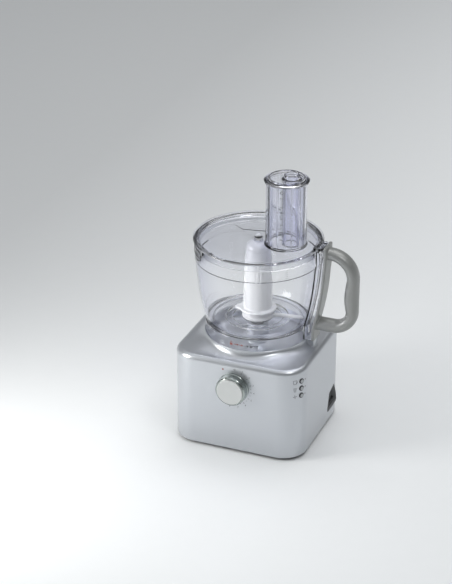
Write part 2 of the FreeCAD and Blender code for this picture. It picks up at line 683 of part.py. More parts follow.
def make_drive():
    bush = s.spindle_radius + s.bush_wall
    bore = s.spindle_radius + s.running_play
    coupling_top = tower_top + s.stack_gap + 4
    turned("lower_bush", ring_corners(bore, bush, inner_bottom, s.pulley_low - 2))
    turned("upper_bush", ring_corners(bore, bush, seat_top, tower_top - 6))
    turned("spindle_seal", ring_corners(bore, bush, tower_top - 6, tower_top - 1))
    turned("drive_spindle", ring_corners(0, s.spindle_radius, inner_bottom + s.stack_gap, coupling_top + 4))
    pulley = new_body("drive_pulley")
    top = s.pulley_low + s.pulley_width
    rim_in = s.drive_pulley_radius - 4
    web = s.pulley_low + 4
    revolve(pulley, [
        (s.spindle_radius, s.pulley_low - 1), (11, s.pulley_low - 1), (11, web), (rim_in, web),
        (rim_in, s.pulley_low - 1), (s.drive_pulley_radius + 2, s.pulley_low - 1),
        (s.drive_pulley_radius + 2, s.pulley_low), (s.drive_pulley_radius, s.pulley_low),
        (s.drive_pulley_radius, top), (s.drive_pulley_radius + 2, top), (s.drive_pulley_radius + 2, top + 1),
        (rim_in, top + 1), (rim_in, web + 3), (11, web + 3), (11, top + 1), (s.spindle_radius, top + 1)])
    window = pocket(pulley, circles(new_sketch(pulley, PLAN, web), 6, [(rim_in / 2 + 5.5, 0)]), 3, back=True)
    pattern(pulley, window, 6)
    finish(pulley, "drive_pulley")

    coupling = new_body("drive_coupling")
    pad(coupling, hexagon(new_sketch(coupling, PLAN, tower_top + s.stack_gap), 15), 4)
    pocket(coupling, circles(new_sketch(coupling, PLAN, tower_top), s.spindle_radius, [(0, 0)]), 9, back=True)
    finish(coupling, "drive_coupling")

    shaft = new_body("drive_shaft")
    hex_low = s.drive_shaft_top - s.hex_length
    revolve(shaft, [
        (0, coupling_top + 4), (s.spindle_radius, coupling_top + 4), (s.spindle_radius, coupling_top),
        (s.drive_shaft_radius + 1.5, coupling_top), (s.drive_shaft_radius + 1.5, coupling_top + 10),
        (s.drive_shaft_radius, coupling_top + 12), (s.drive_shaft_radius, hex_low), (0, hex_low)])
    pad(shaft, hexagon(new_sketch(shaft, PLAN, hex_low), s.hex_across), s.hex_length)
    finish(shaft, "drive_shaft")


# ---- controls ----

def make_dial():
    back = s.dial_gap
    hub = s.dial_shaft_radius
    out = s.dial_radius
    deep = s.dial_depth
    turned("speed_dial", [
        (hub, back + 3), (hub + 3, back + 3), (hub + 3, deep - 2.4), (out - s.dial_wall - 1.5, deep - 2.4),
        (out - s.dial_wall, back), (out, back), (out - 1, deep - 1.5), (out - 2.5, deep), (out - 4, deep),
        (out - 4, deep - 1), (hub, deep - 1)], 0, -front_face, s.dial_height, FACING_FRONT)
    turned("dial_face", [
        (0, deep - 1), (out - 4, deep - 1), (out - 4, deep - 0.3), (0, deep + 0.6)],
        0, -front_face, s.dial_height, FACING_FRONT)
    shaft = cylinder("dial_shaft_rod", s.dial_shaft_radius, s.dial_shaft_length, 0,
                     s.dial_shaft_length - front_face - s.dial_depth + 1, s.dial_height, FACING_FRONT)
    finish(shaft, "dial_shaft")
    wall_in = s.housing_wall + 0.2 - front_face
    box = block("switch_box", (-14, wall_in, s.dial_height - 14), (14, wall_in + 18, s.dial_height + 14))
    bore_radius = s.dial_shaft_radius + s.hex_play
    bore = cylinder("switch_bore", bore_radius, 20, 0, wall_in + 19, s.dial_height, FACING_FRONT)
    finish(cut("speed_switch_cut", box, [bore]), "speed_switch")


def make_buttons():
    outer = s.base_corner
    stem = outer + s.button_proud
    inner = outer - s.housing_wall - 3.2
    for i, label in enumerate(("upper_button", "middle_button", "lower_button")):
        cap = cylinder(f"cap_{i}", s.button_radius, stem - inner, *at_button(i, inner), button_facing)
        flange = cylinder(f"cap_flange_{i}", s.button_flange, 1.6, *at_button(i, inner), button_facing)
        finish(join(f"button_{i}", [cap, flange]), label)
    bezels = []
    switches = []
    lenses = []
    bezel_low = outer - s.housing_wall
    for i in range(3):
        barrel = cylinder(f"bezel_barrel_{i}", s.bezel_radius, s.housing_wall + s.bezel_proud,
                          *at_button(i, bezel_low), button_facing)
        bore = cylinder(f"bezel_bore_{i}", s.button_radius + s.belt_play, s.housing_wall + s.bezel_proud + 2,
                        *at_button(i, bezel_low - 1), button_facing)
        bezels.append(cut(f"bezel_{i}", barrel, [bore]))
        switches.append(cylinder(f"button_switch_{i}", 2.2, 2, *at_button(i, inner - 3.6), button_facing))
        lenses.append(cylinder(f"lens_{i}", s.lens_radius, s.housing_wall + 0.4,
                               *at_button(i, outer - s.housing_wall - 0.6, s.lens_offset), button_facing))
    group("button_bezels", bezels)
    group("button_switches", switches)
    group("indicator_lenses", lenses)
    turn = Rotation(Z_AXIS, button_turn)
    board = doc.addObject("Part::Box", "button_board_blank")
    bind(board, "Length", 24)
    bind(board, "Width", s.board_thickness)
    bind(board, "Height", s.button_spacing * 2 + 16)
    x, y, z = at_button(2, inner - 3.6, -10)
    move(board, x, y, z - 8, turn)
    finish(board, "button_board")


def make_electronics():
    back = s.board_thickness - front_face + 27
    board_low = (20, back - s.board_thickness, inner_bottom + 40)
    finish(block("board_blank", board_low, (62, back, inner_bottom + 110)), "control_board")
    fins = [block("sink_plate", (26, back, inner_bottom + 70), (52, back + 3, inner_bottom + 104))]
    for i in range(5):
        fins.append(block(f"sink_fin_{i}", (26 + 6 * i, back + 2, inner_bottom + 70),
                          (28 + 6 * i, back + 14, inner_bottom + 104)))
    finish(join("sink", fins), "heat_sink")
    can = cylinder("capacitor_can", 6, 14, 41, back, inner_bottom + 54, FACING_BACK)
    finish(can, "suppression_capacitor")


def make_interlock():
    top = s.collar_height
    radius = s.plunger_radius
    turned("interlock_plunger", [
        (0, top - 28), (radius - 0.8, top - 28), (radius - 0.8, top - 23), (radius + 0.6, top - 23),
        (radius + 0.6, top - 21), (radius, top - 21), (radius, top - 0.6), (radius - 0.5, top), (0, top)],
        rod_x)
    finish(block("interlock_switch_case", (rod_x - 8, -4, top - 42), (rod_x + 8, 4, top - 30.5)),
           "interlock_switch")
    coil_radius = radius.value + 0.2
    coil = Part.makeHelix(1.5, 6, coil_radius)
    wire = Part.Wire(Part.makeCircle(0.35, Vector(coil_radius, 0, 0), Vector(0, 1, 0)))
    spring = doc.addObject("Part::Feature", "plunger_coil")
    spring.Shape = Part.Wire(coil).makePipeShell([wire], True, True)
    move(spring, rod_x, 0, top - 29.6)
    finish(spring, "plunger_spring")


# ---- bowl, handle and the rod inside its boss ----

def boss_edge(out, low, high, upward=True):
    """Corners of a line that follows the bowl's outside at this distance, from low to high."""
    skirt = [(s.skirt_radius + out, low), (s.skirt_radius + out, bowl_floor - 1)]
    zone = [(s.zone_radius + out, step_height + 1.5), (s.zone_radius + out, high)]
    floor = (s.floor_radius + out, bowl_floor)
    step = (s.taper_radius + out, step_height)
    if upward:
        return skirt + [floor + (s.taper_curve,), step] + zone
    return zone[::-1] + [step + (-s.taper_curve,), floor] + skirt[::-1]


def make_bowl():
    body = new_body("bowl")
    wall = s.bowl_wall
    tube_in = s.tube_radius - s.tube_wall
    revolve(body, [
        (s.skirt_radius, bowl_foot), (s.skirt_radius, bowl_floor - 1),
        (s.floor_radius, bowl_floor, s.taper_curve), (s.taper_radius, step_height),
        (s.zone_radius, step_height + 1.2), (s.zone_radius, wall_top), (s.zone_radius - wall, wall_top),
        (s.zone_radius - wall, step_height + 1.2), (s.taper_radius - wall, step_height, -s.taper_curve),
        (s.floor_radius - wall, floor_top), (s.outer_ridge, floor_top),
        (s.outer_ridge - 0.6, floor_top + 1.2), (s.outer_ridge - 2, floor_top + 1.2),
        (s.outer_ridge - 2.6, floor_top), (s.inner_ridge, floor_top), (s.inner_ridge - 0.4, floor_top + 1),
        (s.inner_ridge - 1.4, floor_top + 1), (s.inner_ridge - 1.8, floor_top),
        (s.tube_radius, floor_top), (s.tube_radius, s.tube_top), (tube_in, s.tube_top), (tube_in, bowl_floor),
        (s.skirt_radius - wall, bowl_floor), (s.skirt_radius - wall, bowl_foot)])
    # boss for the safety rod, rooted in the wall
    inside = -wall * 0.7
    edge = boss_edge(s.boss_depth, boss_foot, rim)
    root = boss_edge(inside, boss_foot, ring_low - s.stack_gap, upward=False)
    step = [(s.ring_radius + s.stack_gap, rim), (s.ring_radius + s.stack_gap, ring_low - s.stack_gap)]
    boss = outline(new_sketch(body, FRONT), edge + step + root)
    pad(body, boss, s.boss_half * 2, middle=True)
    slot_edge = boss_edge(s.boss_depth + 1, boss_foot - 1, rim + 1)
    slot_root = boss_edge(s.boss_depth - s.rod_slot, boss_foot - 1, rim + 1, upward=False)
    pocket(body, outline(new_sketch(body, FRONT), slot_edge + slot_root), s.rod_half * 2 + 2, middle=True)
    return finish(body, "bowl")


def make_rod():
    body = new_body("interlock_rod")
    near = s.boss_depth - s.rod_play - s.rod_thickness
    # straight below the bowl's floor, so that it can slide up past the skirt's edge
    edge = boss_edge(s.boss_depth - s.rod_play, boss_foot, rim - 0.3)[2:]
    back = boss_edge(near, boss_foot, rim - 0.3, upward=False)[:-2]
    edge.insert(0, (s.floor_radius + s.boss_depth - s.rod_play, boss_foot))
    back.append((s.floor_radius + near, boss_foot))
    pad(body, outline(new_sketch(body, FRONT), edge + back), s.rod_half * 2, middle=True)
    finish(body, "interlock_rod")


def make_handle():
    body = new_body("handle")
    out = s.boss_depth + s.plate_thickness
    face = s.zone_radius + out
    low = bowl_floor - 1.5
    top = rim
    arm = s.arm_height
    inner_x = s.handle_reach - s.handle_thick
    heel_top = low + s.handle_thick
    bulge = s.handle_bulge
    middle = (low + top) / 2
    corner = s.handle_corner
    heel = s.handle_heel
    start = s.zone_radius + s.boss_depth + 1
    foot = s.floor_radius + s.boss_depth + 2
    # the loop of the grip: outside, then inside
    pad(body, outline(new_sketch(body, FRONT), [
        (foot, low), (s.handle_reach - heel, low, heel), (s.handle_reach, low + heel),
        (s.handle_reach, top - corner, corner), (s.handle_reach - corner, top), (start, top),
        (start, top - arm), (inner_x - 24, top - arm, -26), (inner_x, top - arm - 28),
        (inner_x - bulge, middle - 4), (inner_x - bulge, middle - 13), (inner_x, heel_top + 19, -19),
        (inner_x - 17, heel_top), (foot + 4, heel_top)]), s.handle_half * 2, middle=True)
    half = s.handle_half.value
    left = face.value + 2

    def loop_edge(edge):
        box = edge.BoundBox
        return box.YLength < 0.01 and abs(abs(box.YMin) - half) < 0.01 and box.XMax > left
    fillet(body, s.handle_round, loop_edge)
    edge = boss_edge(out, boss_foot, rim + s.plate_rise)
    back = boss_edge(s.boss_depth, boss_foot, rim + s.plate_rise, upward=False)
    pad(body, outline(new_sketch(body, FRONT), edge + back), s.plate_half * 2, middle=True)
    # room for the plunger to come up under the rod
    notch = circles(new_sketch(body, PLAN, boss_foot + s.plunger_lift), s.plunger_radius + 0.3, [(rod_x, 0)])
    pocket(body, notch, s.plunger_lift + 1)
    finish(body, "handle")


def make_bush():
    tube_in = s.tube_radius - s.tube_wall
    turned("bowl_bush", [
        (tube_in - 3, bowl_floor - 3), (tube_in + 3, bowl_floor - 3), (tube_in + 3, bowl_floor - s.stack_gap),
        (tube_in - s.running_play, bowl_floor - s.stack_gap), (tube_in - s.running_play, bowl_floor + 16),
        (tube_in - 3, bowl_floor + 16)])


# ---- lid, feed tube and pushers ----

def make_lid():
    body = new_body("lid")
    skirt_out = s.zone_radius - s.bowl_wall - s.lid_play
    skirt_in = skirt_out - s.lid_skirt_wall
    hole = s.bearing_radius + s.running_play
    revolve(body, [
        (hole, plate_low), (skirt_in, plate_low), (skirt_in, ring_low - s.lid_skirt),
        (skirt_out, ring_low - s.lid_skirt), (skirt_out, ring_low), (s.ring_radius, ring_low),
        (s.ring_radius, rim), (s.ring_inner, rim), (s.ring_inner, plate_top), (hole, plate_top)])
    # cam tab over the boss: its underside rises towards the trailing edge
    tab = new_sketch(body, SIDE, s.ring_inner + 2)
    tab_low = rim + 0.3
    outline(tab, [(s.tab_half, tab_low), (s.tab_half, rim + s.tab_height), (-s.tab_half, rim + s.tab_height),
                  (-s.tab_half, tab_low + s.tab_ramp), (-2, tab_low)])
    pad(body, tab, s.tab_reach - s.ring_inner - 2)
    foot = new_sketch(body, SIDE, s.ring_inner + 2)
    rectangle(foot, -s.tab_half, s.tab_half, rim - 1, rim + s.tab_height)
    pad(body, foot, s.ring_radius - s.ring_inner - 3)
    mouth = circles(new_sketch(body, PLAN, plate_top), s.feed_radius - s.feed_wall, [(s.feed_offset, 0)])
    pocket(body, mouth, s.lid_thickness)
    return finish(body, "lid")


def make_feed_tube():
    out = s.feed_radius
    top = rim + s.feed_rise
    flare = out + s.feed_flare
    bore = out - s.feed_wall
    turned("feed_tube", [
        (bore, plate_top), (out + 1.5, plate_top), (out + 1.5, plate_top + 2.5), (out, plate_top + 4),
        (out, top - 8), (flare, top - 4), (flare, top), (flare - 2, top), (bore, top - 4)], s.feed_offset)


def make_pushers():
    bore = s.feed_radius - s.feed_wall
    out = bore - s.pusher_play
    inner = out - s.pusher_wall
    low = plate_low + 1
    top = rim + s.feed_rise + s.stack_gap
    flange = s.feed_radius + s.feed_flare + 1.5
    body = new_body("pusher")
    revolve(body, [
        (0, low), (out, low), (out, top), (flange, top), (flange, top + 2.6), (inner + 2, top + 3.4),
        (inner + 1, top + 6), (inner, top + 6), (inner, low + 2.4), (0, low + 2.4)])
    guide_top = top + 2
    spot = [(s.small_offset, 0)]
    pad(body, circles(new_sketch(body, PLAN, low + 1), s.small_radius, spot), guide_top - low - 1)
    pocket(body, circles(new_sketch(body, PLAN, low - 1), s.small_radius - s.small_wall, spot),
           guide_top - low + 2, back=True)
    move(body, s.feed_offset)
    finish(body, "pusher")
    small = s.small_radius - s.small_wall - s.pusher_play
    rest = guide_top + s.stack_gap
    turned("small_pusher", [
        (0, low), (small, low), (small, rest), (small + 3.5, rest), (small + 3.5, rest + 2.4),
        (small, rest + 3.2), (small, rest + 8), (small - s.small_wall, rest + 8),
        (small - s.small_wall, low + 2.4), (0, low + 2.4)], s.feed_offset + s.small_offset)


def make_bearing():
    top = plate_top + s.stack_gap
    bore = s.neck_radius + s.running_play * 2
    knob = s.knob_radius
    turned("lid_bearing", [
        (bore, plate_low - 1.8), (s.bearing_flange, plate_low - 1.8), (s.bearing_flange, plate_low - 0.3),
        (s.bearing_radius, plate_low - 0.3), (s.bearing_radius, top), (knob - 1.2, top + 1),
        (knob, top + 3.5, knob), (0, top + 3.5 + knob), (0, plate_low), (bore, plate_low)])


# ---- tool ----

def make_tool():
    low = floor_top + s.tool_gap
    shoulder = rim - s.column_drop
    hub = new_body("tool_hub")
    insert_low = s.drive_shaft_top - s.hex_length
    seat = s.column_bore - 2.4
    revolve(hub, [
        (s.column_bore, low), (s.tool_ring, low), (s.tool_ring, low + 2.4), (s.column_low, low + 3.6),
        (s.column_middle, shoulder - 20), (s.column_high, shoulder), (s.column_high - 3, shoulder), (s.insert_radius, s.drive_shaft_top + 2),
        (s.insert_radius, insert_low), (seat - 3, insert_low), (seat - 3, insert_low - 2),
        (s.column_bore, s.tube_top + 6)])
    wing = new_sketch(hub, PLAN, low + s.wing_low, WING_ANGLE)
    start = s.column_bore + 1
    outline(wing, [(start, -s.wing_half - 4), (s.wing_reach - 6, -s.wing_half), (s.wing_reach, -2),
                   (s.wing_reach, 3), (s.wing_reach - 8, s.wing_half), (start, s.wing_half + 4)])
    pad(hub, wing, s.wing_height)
    disc = circles(new_sketch(hub, PLAN, low + s.wing_low), s.disc_radius, [(0, 0)])
    pad(hub, disc, s.wing_height)
    arm = new_sketch(hub, PLAN, low + 0.5, ARM_ANGLE)
    outline(arm, [(start, -s.arm_half), (s.arm_reach, -s.arm_half / 2), (s.arm_reach, s.arm_half / 2),
                  (start, s.arm_half)])
    pad(hub, arm, s.arm_thin)
    bore = circles(new_sketch(hub, PLAN, low), s.column_bore, [(0, 0)])
    pocket(hub, bore, s.tube_top + 4 - low, back=True)
    finish(hub, "tool_hub")

    insert = new_body("tool_insert")
    pad(insert, circles(new_sketch(insert, PLAN, insert_low), s.insert_radius, [(0, 0)]), s.hex_length + 2)
    socket = hexagon(new_sketch(insert, PLAN, insert_low), s.hex_across + s.hex_play * 2)
    pocket(insert, socket, s.hex_length + s.stack_gap, back=True)
    finish(insert, "tool_insert")

    turned("tool_cap", [
        (0, shoulder), (s.column_high + 1.2, shoulder), (s.column_high + 1.2, shoulder + 2.2),
        (s.column_high - 1, shoulder + 4, 12), (s.neck_radius + 1.5, plate_low - 2.4),
        (s.neck_radius, plate_low - 2.3), (s.neck_radius, plate_low - 0.6), (0, plate_low - 0.6)])


make_housing()
make_cover()
make_feet()
make_cover_screws()
make_side_grips()
make_gland()
make_motor()
make_belt()
make_drive()
make_dial()
make_buttons()
make_electronics()
make_interlock()
make_bowl()
make_rod()
make_handle()
make_bush()
make_lid()
make_feed_tube()
make_pushers()
make_bearing()
make_tool()

doc.recompute()
for item in doc.Objects:
    if {"Invalid", "Error"} & set(item.State):
        raise ValueError(f"{item.Label} could not be built: {item.State}")
for item in subparts:
    if item.Shape.isNull() or not item.Shape.isValid() or not item.Shape.Solids:
        raise ValueError(item.Label + " is not a valid solid")
    item.Shape.exportStep(f"parts/{item.Label}.step")
    box = item.Shape.BoundBox
    print(f"{item.Label:22s} {len(item.Shape.Solids)} solids {item.Shape.Volume / 1000:8.1f} cm3  "
          f"x {box.XMin:7.1f} {box.XMax:7.1f}  y {box.YMin:7.1f} {box.YMax:7.1f}  "
          f"z {box.ZMin:6.1f} {box.ZMax:6.1f}")
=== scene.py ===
import json
import math
from contextlib import contextmanager
from types import SimpleNamespace

import bmesh
import bpy
from mathutils import Matrix, Vector


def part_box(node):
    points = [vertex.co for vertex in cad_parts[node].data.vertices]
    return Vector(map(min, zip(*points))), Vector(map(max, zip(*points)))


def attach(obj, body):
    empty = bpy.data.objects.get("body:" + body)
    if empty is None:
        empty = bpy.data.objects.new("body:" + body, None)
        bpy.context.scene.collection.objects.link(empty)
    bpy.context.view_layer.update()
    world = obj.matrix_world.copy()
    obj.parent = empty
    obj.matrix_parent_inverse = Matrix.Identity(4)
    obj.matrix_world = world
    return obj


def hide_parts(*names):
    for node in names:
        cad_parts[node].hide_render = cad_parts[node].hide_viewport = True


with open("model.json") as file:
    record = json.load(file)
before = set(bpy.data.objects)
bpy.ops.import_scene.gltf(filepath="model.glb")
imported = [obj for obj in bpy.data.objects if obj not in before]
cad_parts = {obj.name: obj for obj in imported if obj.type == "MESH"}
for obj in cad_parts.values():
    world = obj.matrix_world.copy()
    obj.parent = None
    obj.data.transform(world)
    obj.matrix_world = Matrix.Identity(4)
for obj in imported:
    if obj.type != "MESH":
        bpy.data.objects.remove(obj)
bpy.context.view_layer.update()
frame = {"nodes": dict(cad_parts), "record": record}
print("frame loaded")

# Shapes are written in millimetres in the frame of the part; the helpers turn them into metres.
mm = 0.001


# bench tools

def deselect():
    bpy.ops.object.select_all(action="DESELECT")


def pick(obj):
    deselect()
    obj.select_set(True)
    bpy.context.view_layer.objects.active = obj


@contextmanager
def editing(obj):
    pick(obj)
    bpy.ops.object.mode_set(mode="EDIT")
    yield bmesh.from_edit_mesh(obj.data)
    bpy.ops.object.mode_set(mode="OBJECT")


def low(node):
    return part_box(node)[0] / mm


def high(node):
    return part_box(node)[1] / mm


def middle(node):
    return (low(node) + high(node)) / 2


def softened(points, closed=True, steps=4):
    out = []
    for i, point in enumerate(points):
        here = Vector(point[:2])
        ends = not closed and i in (0, len(points) - 1)
        if len(point) < 3 or ends:
            out.append(here)
            continue
        before = Vector(points[i - 1][:2]) - here
        after = Vector(points[(i + 1) % len(points)][:2]) - here
        half = before.angle(after) / 2
        reach = min(point[2] / math.tan(half), before.length * 0.49, after.length * 0.49)
        radius = reach * math.tan(half)
        centre = here + (before.normalized() + after.normalized()).normalized() * radius / math.sin(half)
        start = here + before.normalized() * reach - centre
        stop = here + after.normalized() * reach - centre
        for k in range(steps + 1):
            out.append(centre + start.lerp(stop, k / steps).normalized() * radius)
    return out


def loft(name, rings):
    deselect()
    bpy.ops.mesh.primitive_circle_add(vertices=len(rings[0]), radius=0.1)
    obj = bpy.context.object
    obj.name = name
    obj.data.name = name
    with editing(obj) as mesh:
        mesh.verts.layers.int.new("order")
        order = mesh.verts.layers.int["order"]
        for i, vert in enumerate(mesh.verts):
            vert[order] = i
            vert.co = rings[0][i]
        bmesh.update_edit_mesh(obj.data)
        for ring in rings[1:]:
            bpy.ops.mesh.extrude_region_move()
            mesh = bmesh.from_edit_mesh(obj.data)
            order = mesh.verts.layers.int["order"]
            for vert in mesh.verts:
                if vert.select:
                    vert.co = ring[vert[order]]
            bmesh.update_edit_mesh(obj.data)
        bpy.ops.mesh.select_all(action="SELECT")
        bpy.ops.mesh.remove_doubles(threshold=1e-6)
        bpy.ops.mesh.select_all(action="SELECT")
        bpy.ops.mesh.fill_holes(sides=0)
        bpy.ops.mesh.select_all(action="SELECT")
        bpy.ops.mesh.normals_make_consistent(inside=False)
    obj.data.attributes.remove(obj.data.attributes["order"])
    return obj


def circleRing(radius, z, count=96, centre=(0, 0)):
    return [Vector((centre[0] + x, centre[1] + y, z)) * mm for x, y in disc(radius, count)]


def disc(radius, count):
    return [(radius * math.cos(math.tau * i / count), radius * math.sin(math.tau * i / count))
            for i in range(count)]


def outlineRing(outline, z):
    return [Vector((x, y, z)) * mm for x, y in outline]


def lathe(name, profile, count=96, centre=(0, 0), closed=True, steps=4):
    points = softened(profile, closed, steps)
    if closed:
        points = points + points[:1]
    return loft(name, [circleRing(r, z, count, centre) for r, z in points])


def slab(name, outline, bottom, top, edge=0.0, segments=3):
    obj = loft(name, [outlineRing(outline, bottom), outlineRing(outline, top)])
    if edge:
        bevel(obj, edge, segments)
    return obj


def applied(obj, kind, **settings):
    pick(obj)
    modifier = obj.modifiers.new("shape", kind)
    for key, value in settings.items():
        setattr(modifier, key, value)
    bpy.ops.object.modifier_apply(modifier=modifier.name)
    return obj


def bevel(obj, width, segments=3, angle=30):
    return applied(obj, "BEVEL", width=width * mm, segments=segments, limit_method="ANGLE",
                   angle_limit=math.radians(angle), harden_normals=False)


def combine(obj, other, operation, solver="MANIFOLD"):
    applied(obj, "BOOLEAN", operation=operation, object=other, solver=solver)
    bpy.data.objects.remove(other, do_unlink=True)
    return obj


def union(obj, *others):
    for other in others:
        combine(obj, other, "UNION")
    return obj


def carve(obj, *others):
    for other in others:
        combine(obj, other, "DIFFERENCE")
    return obj


def joined(name, parts):
    deselect()
    for part in parts:
        part.select_set(True)
    bpy.context.view_layer.objects.active = parts[0]
    bpy.ops.object.join()
    parts[0].name = name
    parts[0].data.name = name
    return parts[0]


def placed(obj, matrix):
    obj.data.transform(matrix)
    obj.data.update()
    return obj


def copied(obj, name, matrix):
    twin = obj.copy()
    twin.data = obj.data.copy()
    twin.name = name
    twin.data.name = name
    bpy.context.scene.collection.objects.link(twin)
    return placed(twin, matrix)


def smooth(obj, angle=32):
    pick(obj)
    bpy.ops.object.shade_smooth_by_angle(angle=math.radians(angle))
    return obj


def settle(obj, body, slotName, *nodes, angle=32, look=None):
    smooth(obj, angle)
    obj.data.materials.clear()
    obj.data.materials.append(material(look or slotName))
    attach(obj, body)
    if nodes:
        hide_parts(*nodes)
    return obj


def standing(normal, spot):
    up = Vector(normal).normalized()
    side = Vector((0, 0, 1)).cross(up)
    side = side.normalized() if side.length > 0.01 else Vector((1, 0, 0))
    turn = Matrix((side, up.cross(side), up)).transposed().to_4x4()
    return Matrix.Translation(Vector(spot) * mm) @ turn


def around(turn, z, radius, centre=(0, 0)):
    way = Vector((math.cos(math.radians(turn)), math.sin(math.radians(turn)), 0))
    return standing(way, (centre[0] + way.x * radius, centre[1] + way.y * radius, z))


# shader groups

def newGroup(name, inputs, outputs):
    group = bpy.data.node_groups.new(name, "ShaderNodeTree")
    for label, kind, value in inputs:
        socket = group.interface.new_socket(label, in_out="INPUT", socket_type=kind)
        if value is not None:
            socket.default_value = value
    for label, kind in outputs:
        group.interface.new_socket(label, in_out="OUTPUT", socket_type=kind)
    enter = group.nodes.new("NodeGroupInput")
    leave = group.nodes.new("NodeGroupOutput")
    return group, enter, leave


def node(tree, kind, values=None, **settings):
    made = tree.nodes.new(kind)
    for key, value in settings.items():
        setattr(made, key, value)
    for key, value in (values or {}).items():
        if hasattr(value, "is_output"):
            tree.links.new(value, made.inputs[key])
        else:
            made.inputs[key].default_value = value
    return made


def scalar(tree, operation, first, second=0.0, third=0.0):
    return node(tree, "ShaderNodeMath", {0: first, 1: second, 2: third}, operation=operation).outputs[0]


def mixed(tree, factor, first, second, blend="MIX"):
    made = node(tree, "ShaderNodeMix", {0: factor, 6: first, 7: second}, data_type="RGBA", blend_type=blend)
    return made.outputs[2]


def makeGrainGroup():
    group, enter, leave = newGroup("surfaceGrain", [
        ("Vector", "NodeSocketVector", None), ("Scale", "NodeSocketFloat", 900.0),
        ("Color", "NodeSocketColor", (0.5, 0.5, 0.5, 1)), ("Tint", "NodeSocketColor", (0.4, 0.4, 0.4, 1)),
        ("Amount", "NodeSocketFloat", 0.5), ("Roughness", "NodeSocketFloat", 0.4),
        ("Spread", "NodeSocketFloat", 0.1), ("Wear", "NodeSocketFloat", 0.2)],
        [("Color", "NodeSocketColor"), ("Roughness", "NodeSocketFloat"), ("Height", "NodeSocketFloat")])
    ins = enter.outputs
    fine = node(group, "ShaderNodeTexNoise", {"Vector": ins["Vector"], "Scale": ins["Scale"], "Detail": 3.0})
    broad = scalar(group, "MULTIPLY", ins["Scale"], 0.03)
    cloud = node(group, "ShaderNodeTexNoise", {"Vector": ins["Vector"], "Scale": broad, "Detail": 4.0,
                                               "Roughness": 0.6})
    blend = scalar(group, "ADD", scalar(group, "MULTIPLY", fine.outputs[0], 0.45),
                   scalar(group, "MULTIPLY", cloud.outputs[0], 0.55))
    spots = node(group, "ShaderNodeMapRange", {0: cloud.outputs[0], 1: 0.52, 2: 0.72, 3: 0.0, 4: 1.0})
    factor = scalar(group, "MULTIPLY", blend, ins["Amount"])
    worn = scalar(group, "MULTIPLY", spots.outputs[0], ins["Wear"])
    color = mixed(group, factor, ins["Color"], ins["Tint"])
    group.links.new(color, leave.inputs["Color"])
    shift = scalar(group, "MULTIPLY", scalar(group, "SUBTRACT", blend, 0.5), ins["Spread"])
    rough = scalar(group, "ADD", ins["Roughness"], shift)
    rough = scalar(group, "ADD", rough, scalar(group, "MULTIPLY", worn, 0.2))
    group.links.new(rough, leave.inputs["Roughness"])
    group.links.new(fine.outputs[0], leave.inputs["Height"])
    return group


def makeLinesGroup():
    group, enter, leave = newGroup("fineLines", [
        ("Vector", "NodeSocketVector", None), ("Centre", "NodeSocketVector", (0, 0, 0)),
        ("Stretch", "NodeSocketVector", (1, 1, 1)), ("Rings", "NodeSocketFloat", 0.0),
        ("Scale", "NodeSocketFloat", 2000.0)],
        [("Value", "NodeSocketFloat"), ("Height", "NodeSocketFloat")])
    ins = enter.outputs
    local = node(group, "ShaderNodeVectorMath", {0: ins["Vector"], 1: ins["Centre"]}, operation="SUBTRACT")
    flat = node(group, "ShaderNodeVectorMath", {0: local.outputs[0], 1: ins["Stretch"]}, operation="MULTIPLY")
    reach = node(group, "ShaderNodeVectorMath", {0: flat.outputs[0]}, operation="LENGTH")
    ringed = node(group, "ShaderNodeCombineXYZ", {0: reach.outputs["Value"]})
    choice = node(group, "ShaderNodeMix", {0: ins["Rings"], 4: flat.outputs[0], 5: ringed.outputs[0]},
                  data_type="VECTOR")
    lines = node(group, "ShaderNodeTexNoise", {"Vector": choice.outputs[1], "Scale": ins["Scale"],
                                               "Detail": 2.0, "Roughness": 0.7})
    group.links.new(lines.outputs[0], leave.inputs["Value"])
    group.links.new(scalar(group, "MULTIPLY", lines.outputs[0], 0.6), leave.inputs["Height"])
    return group


grainGroup = makeGrainGroup()
linesGroup = makeLinesGroup()

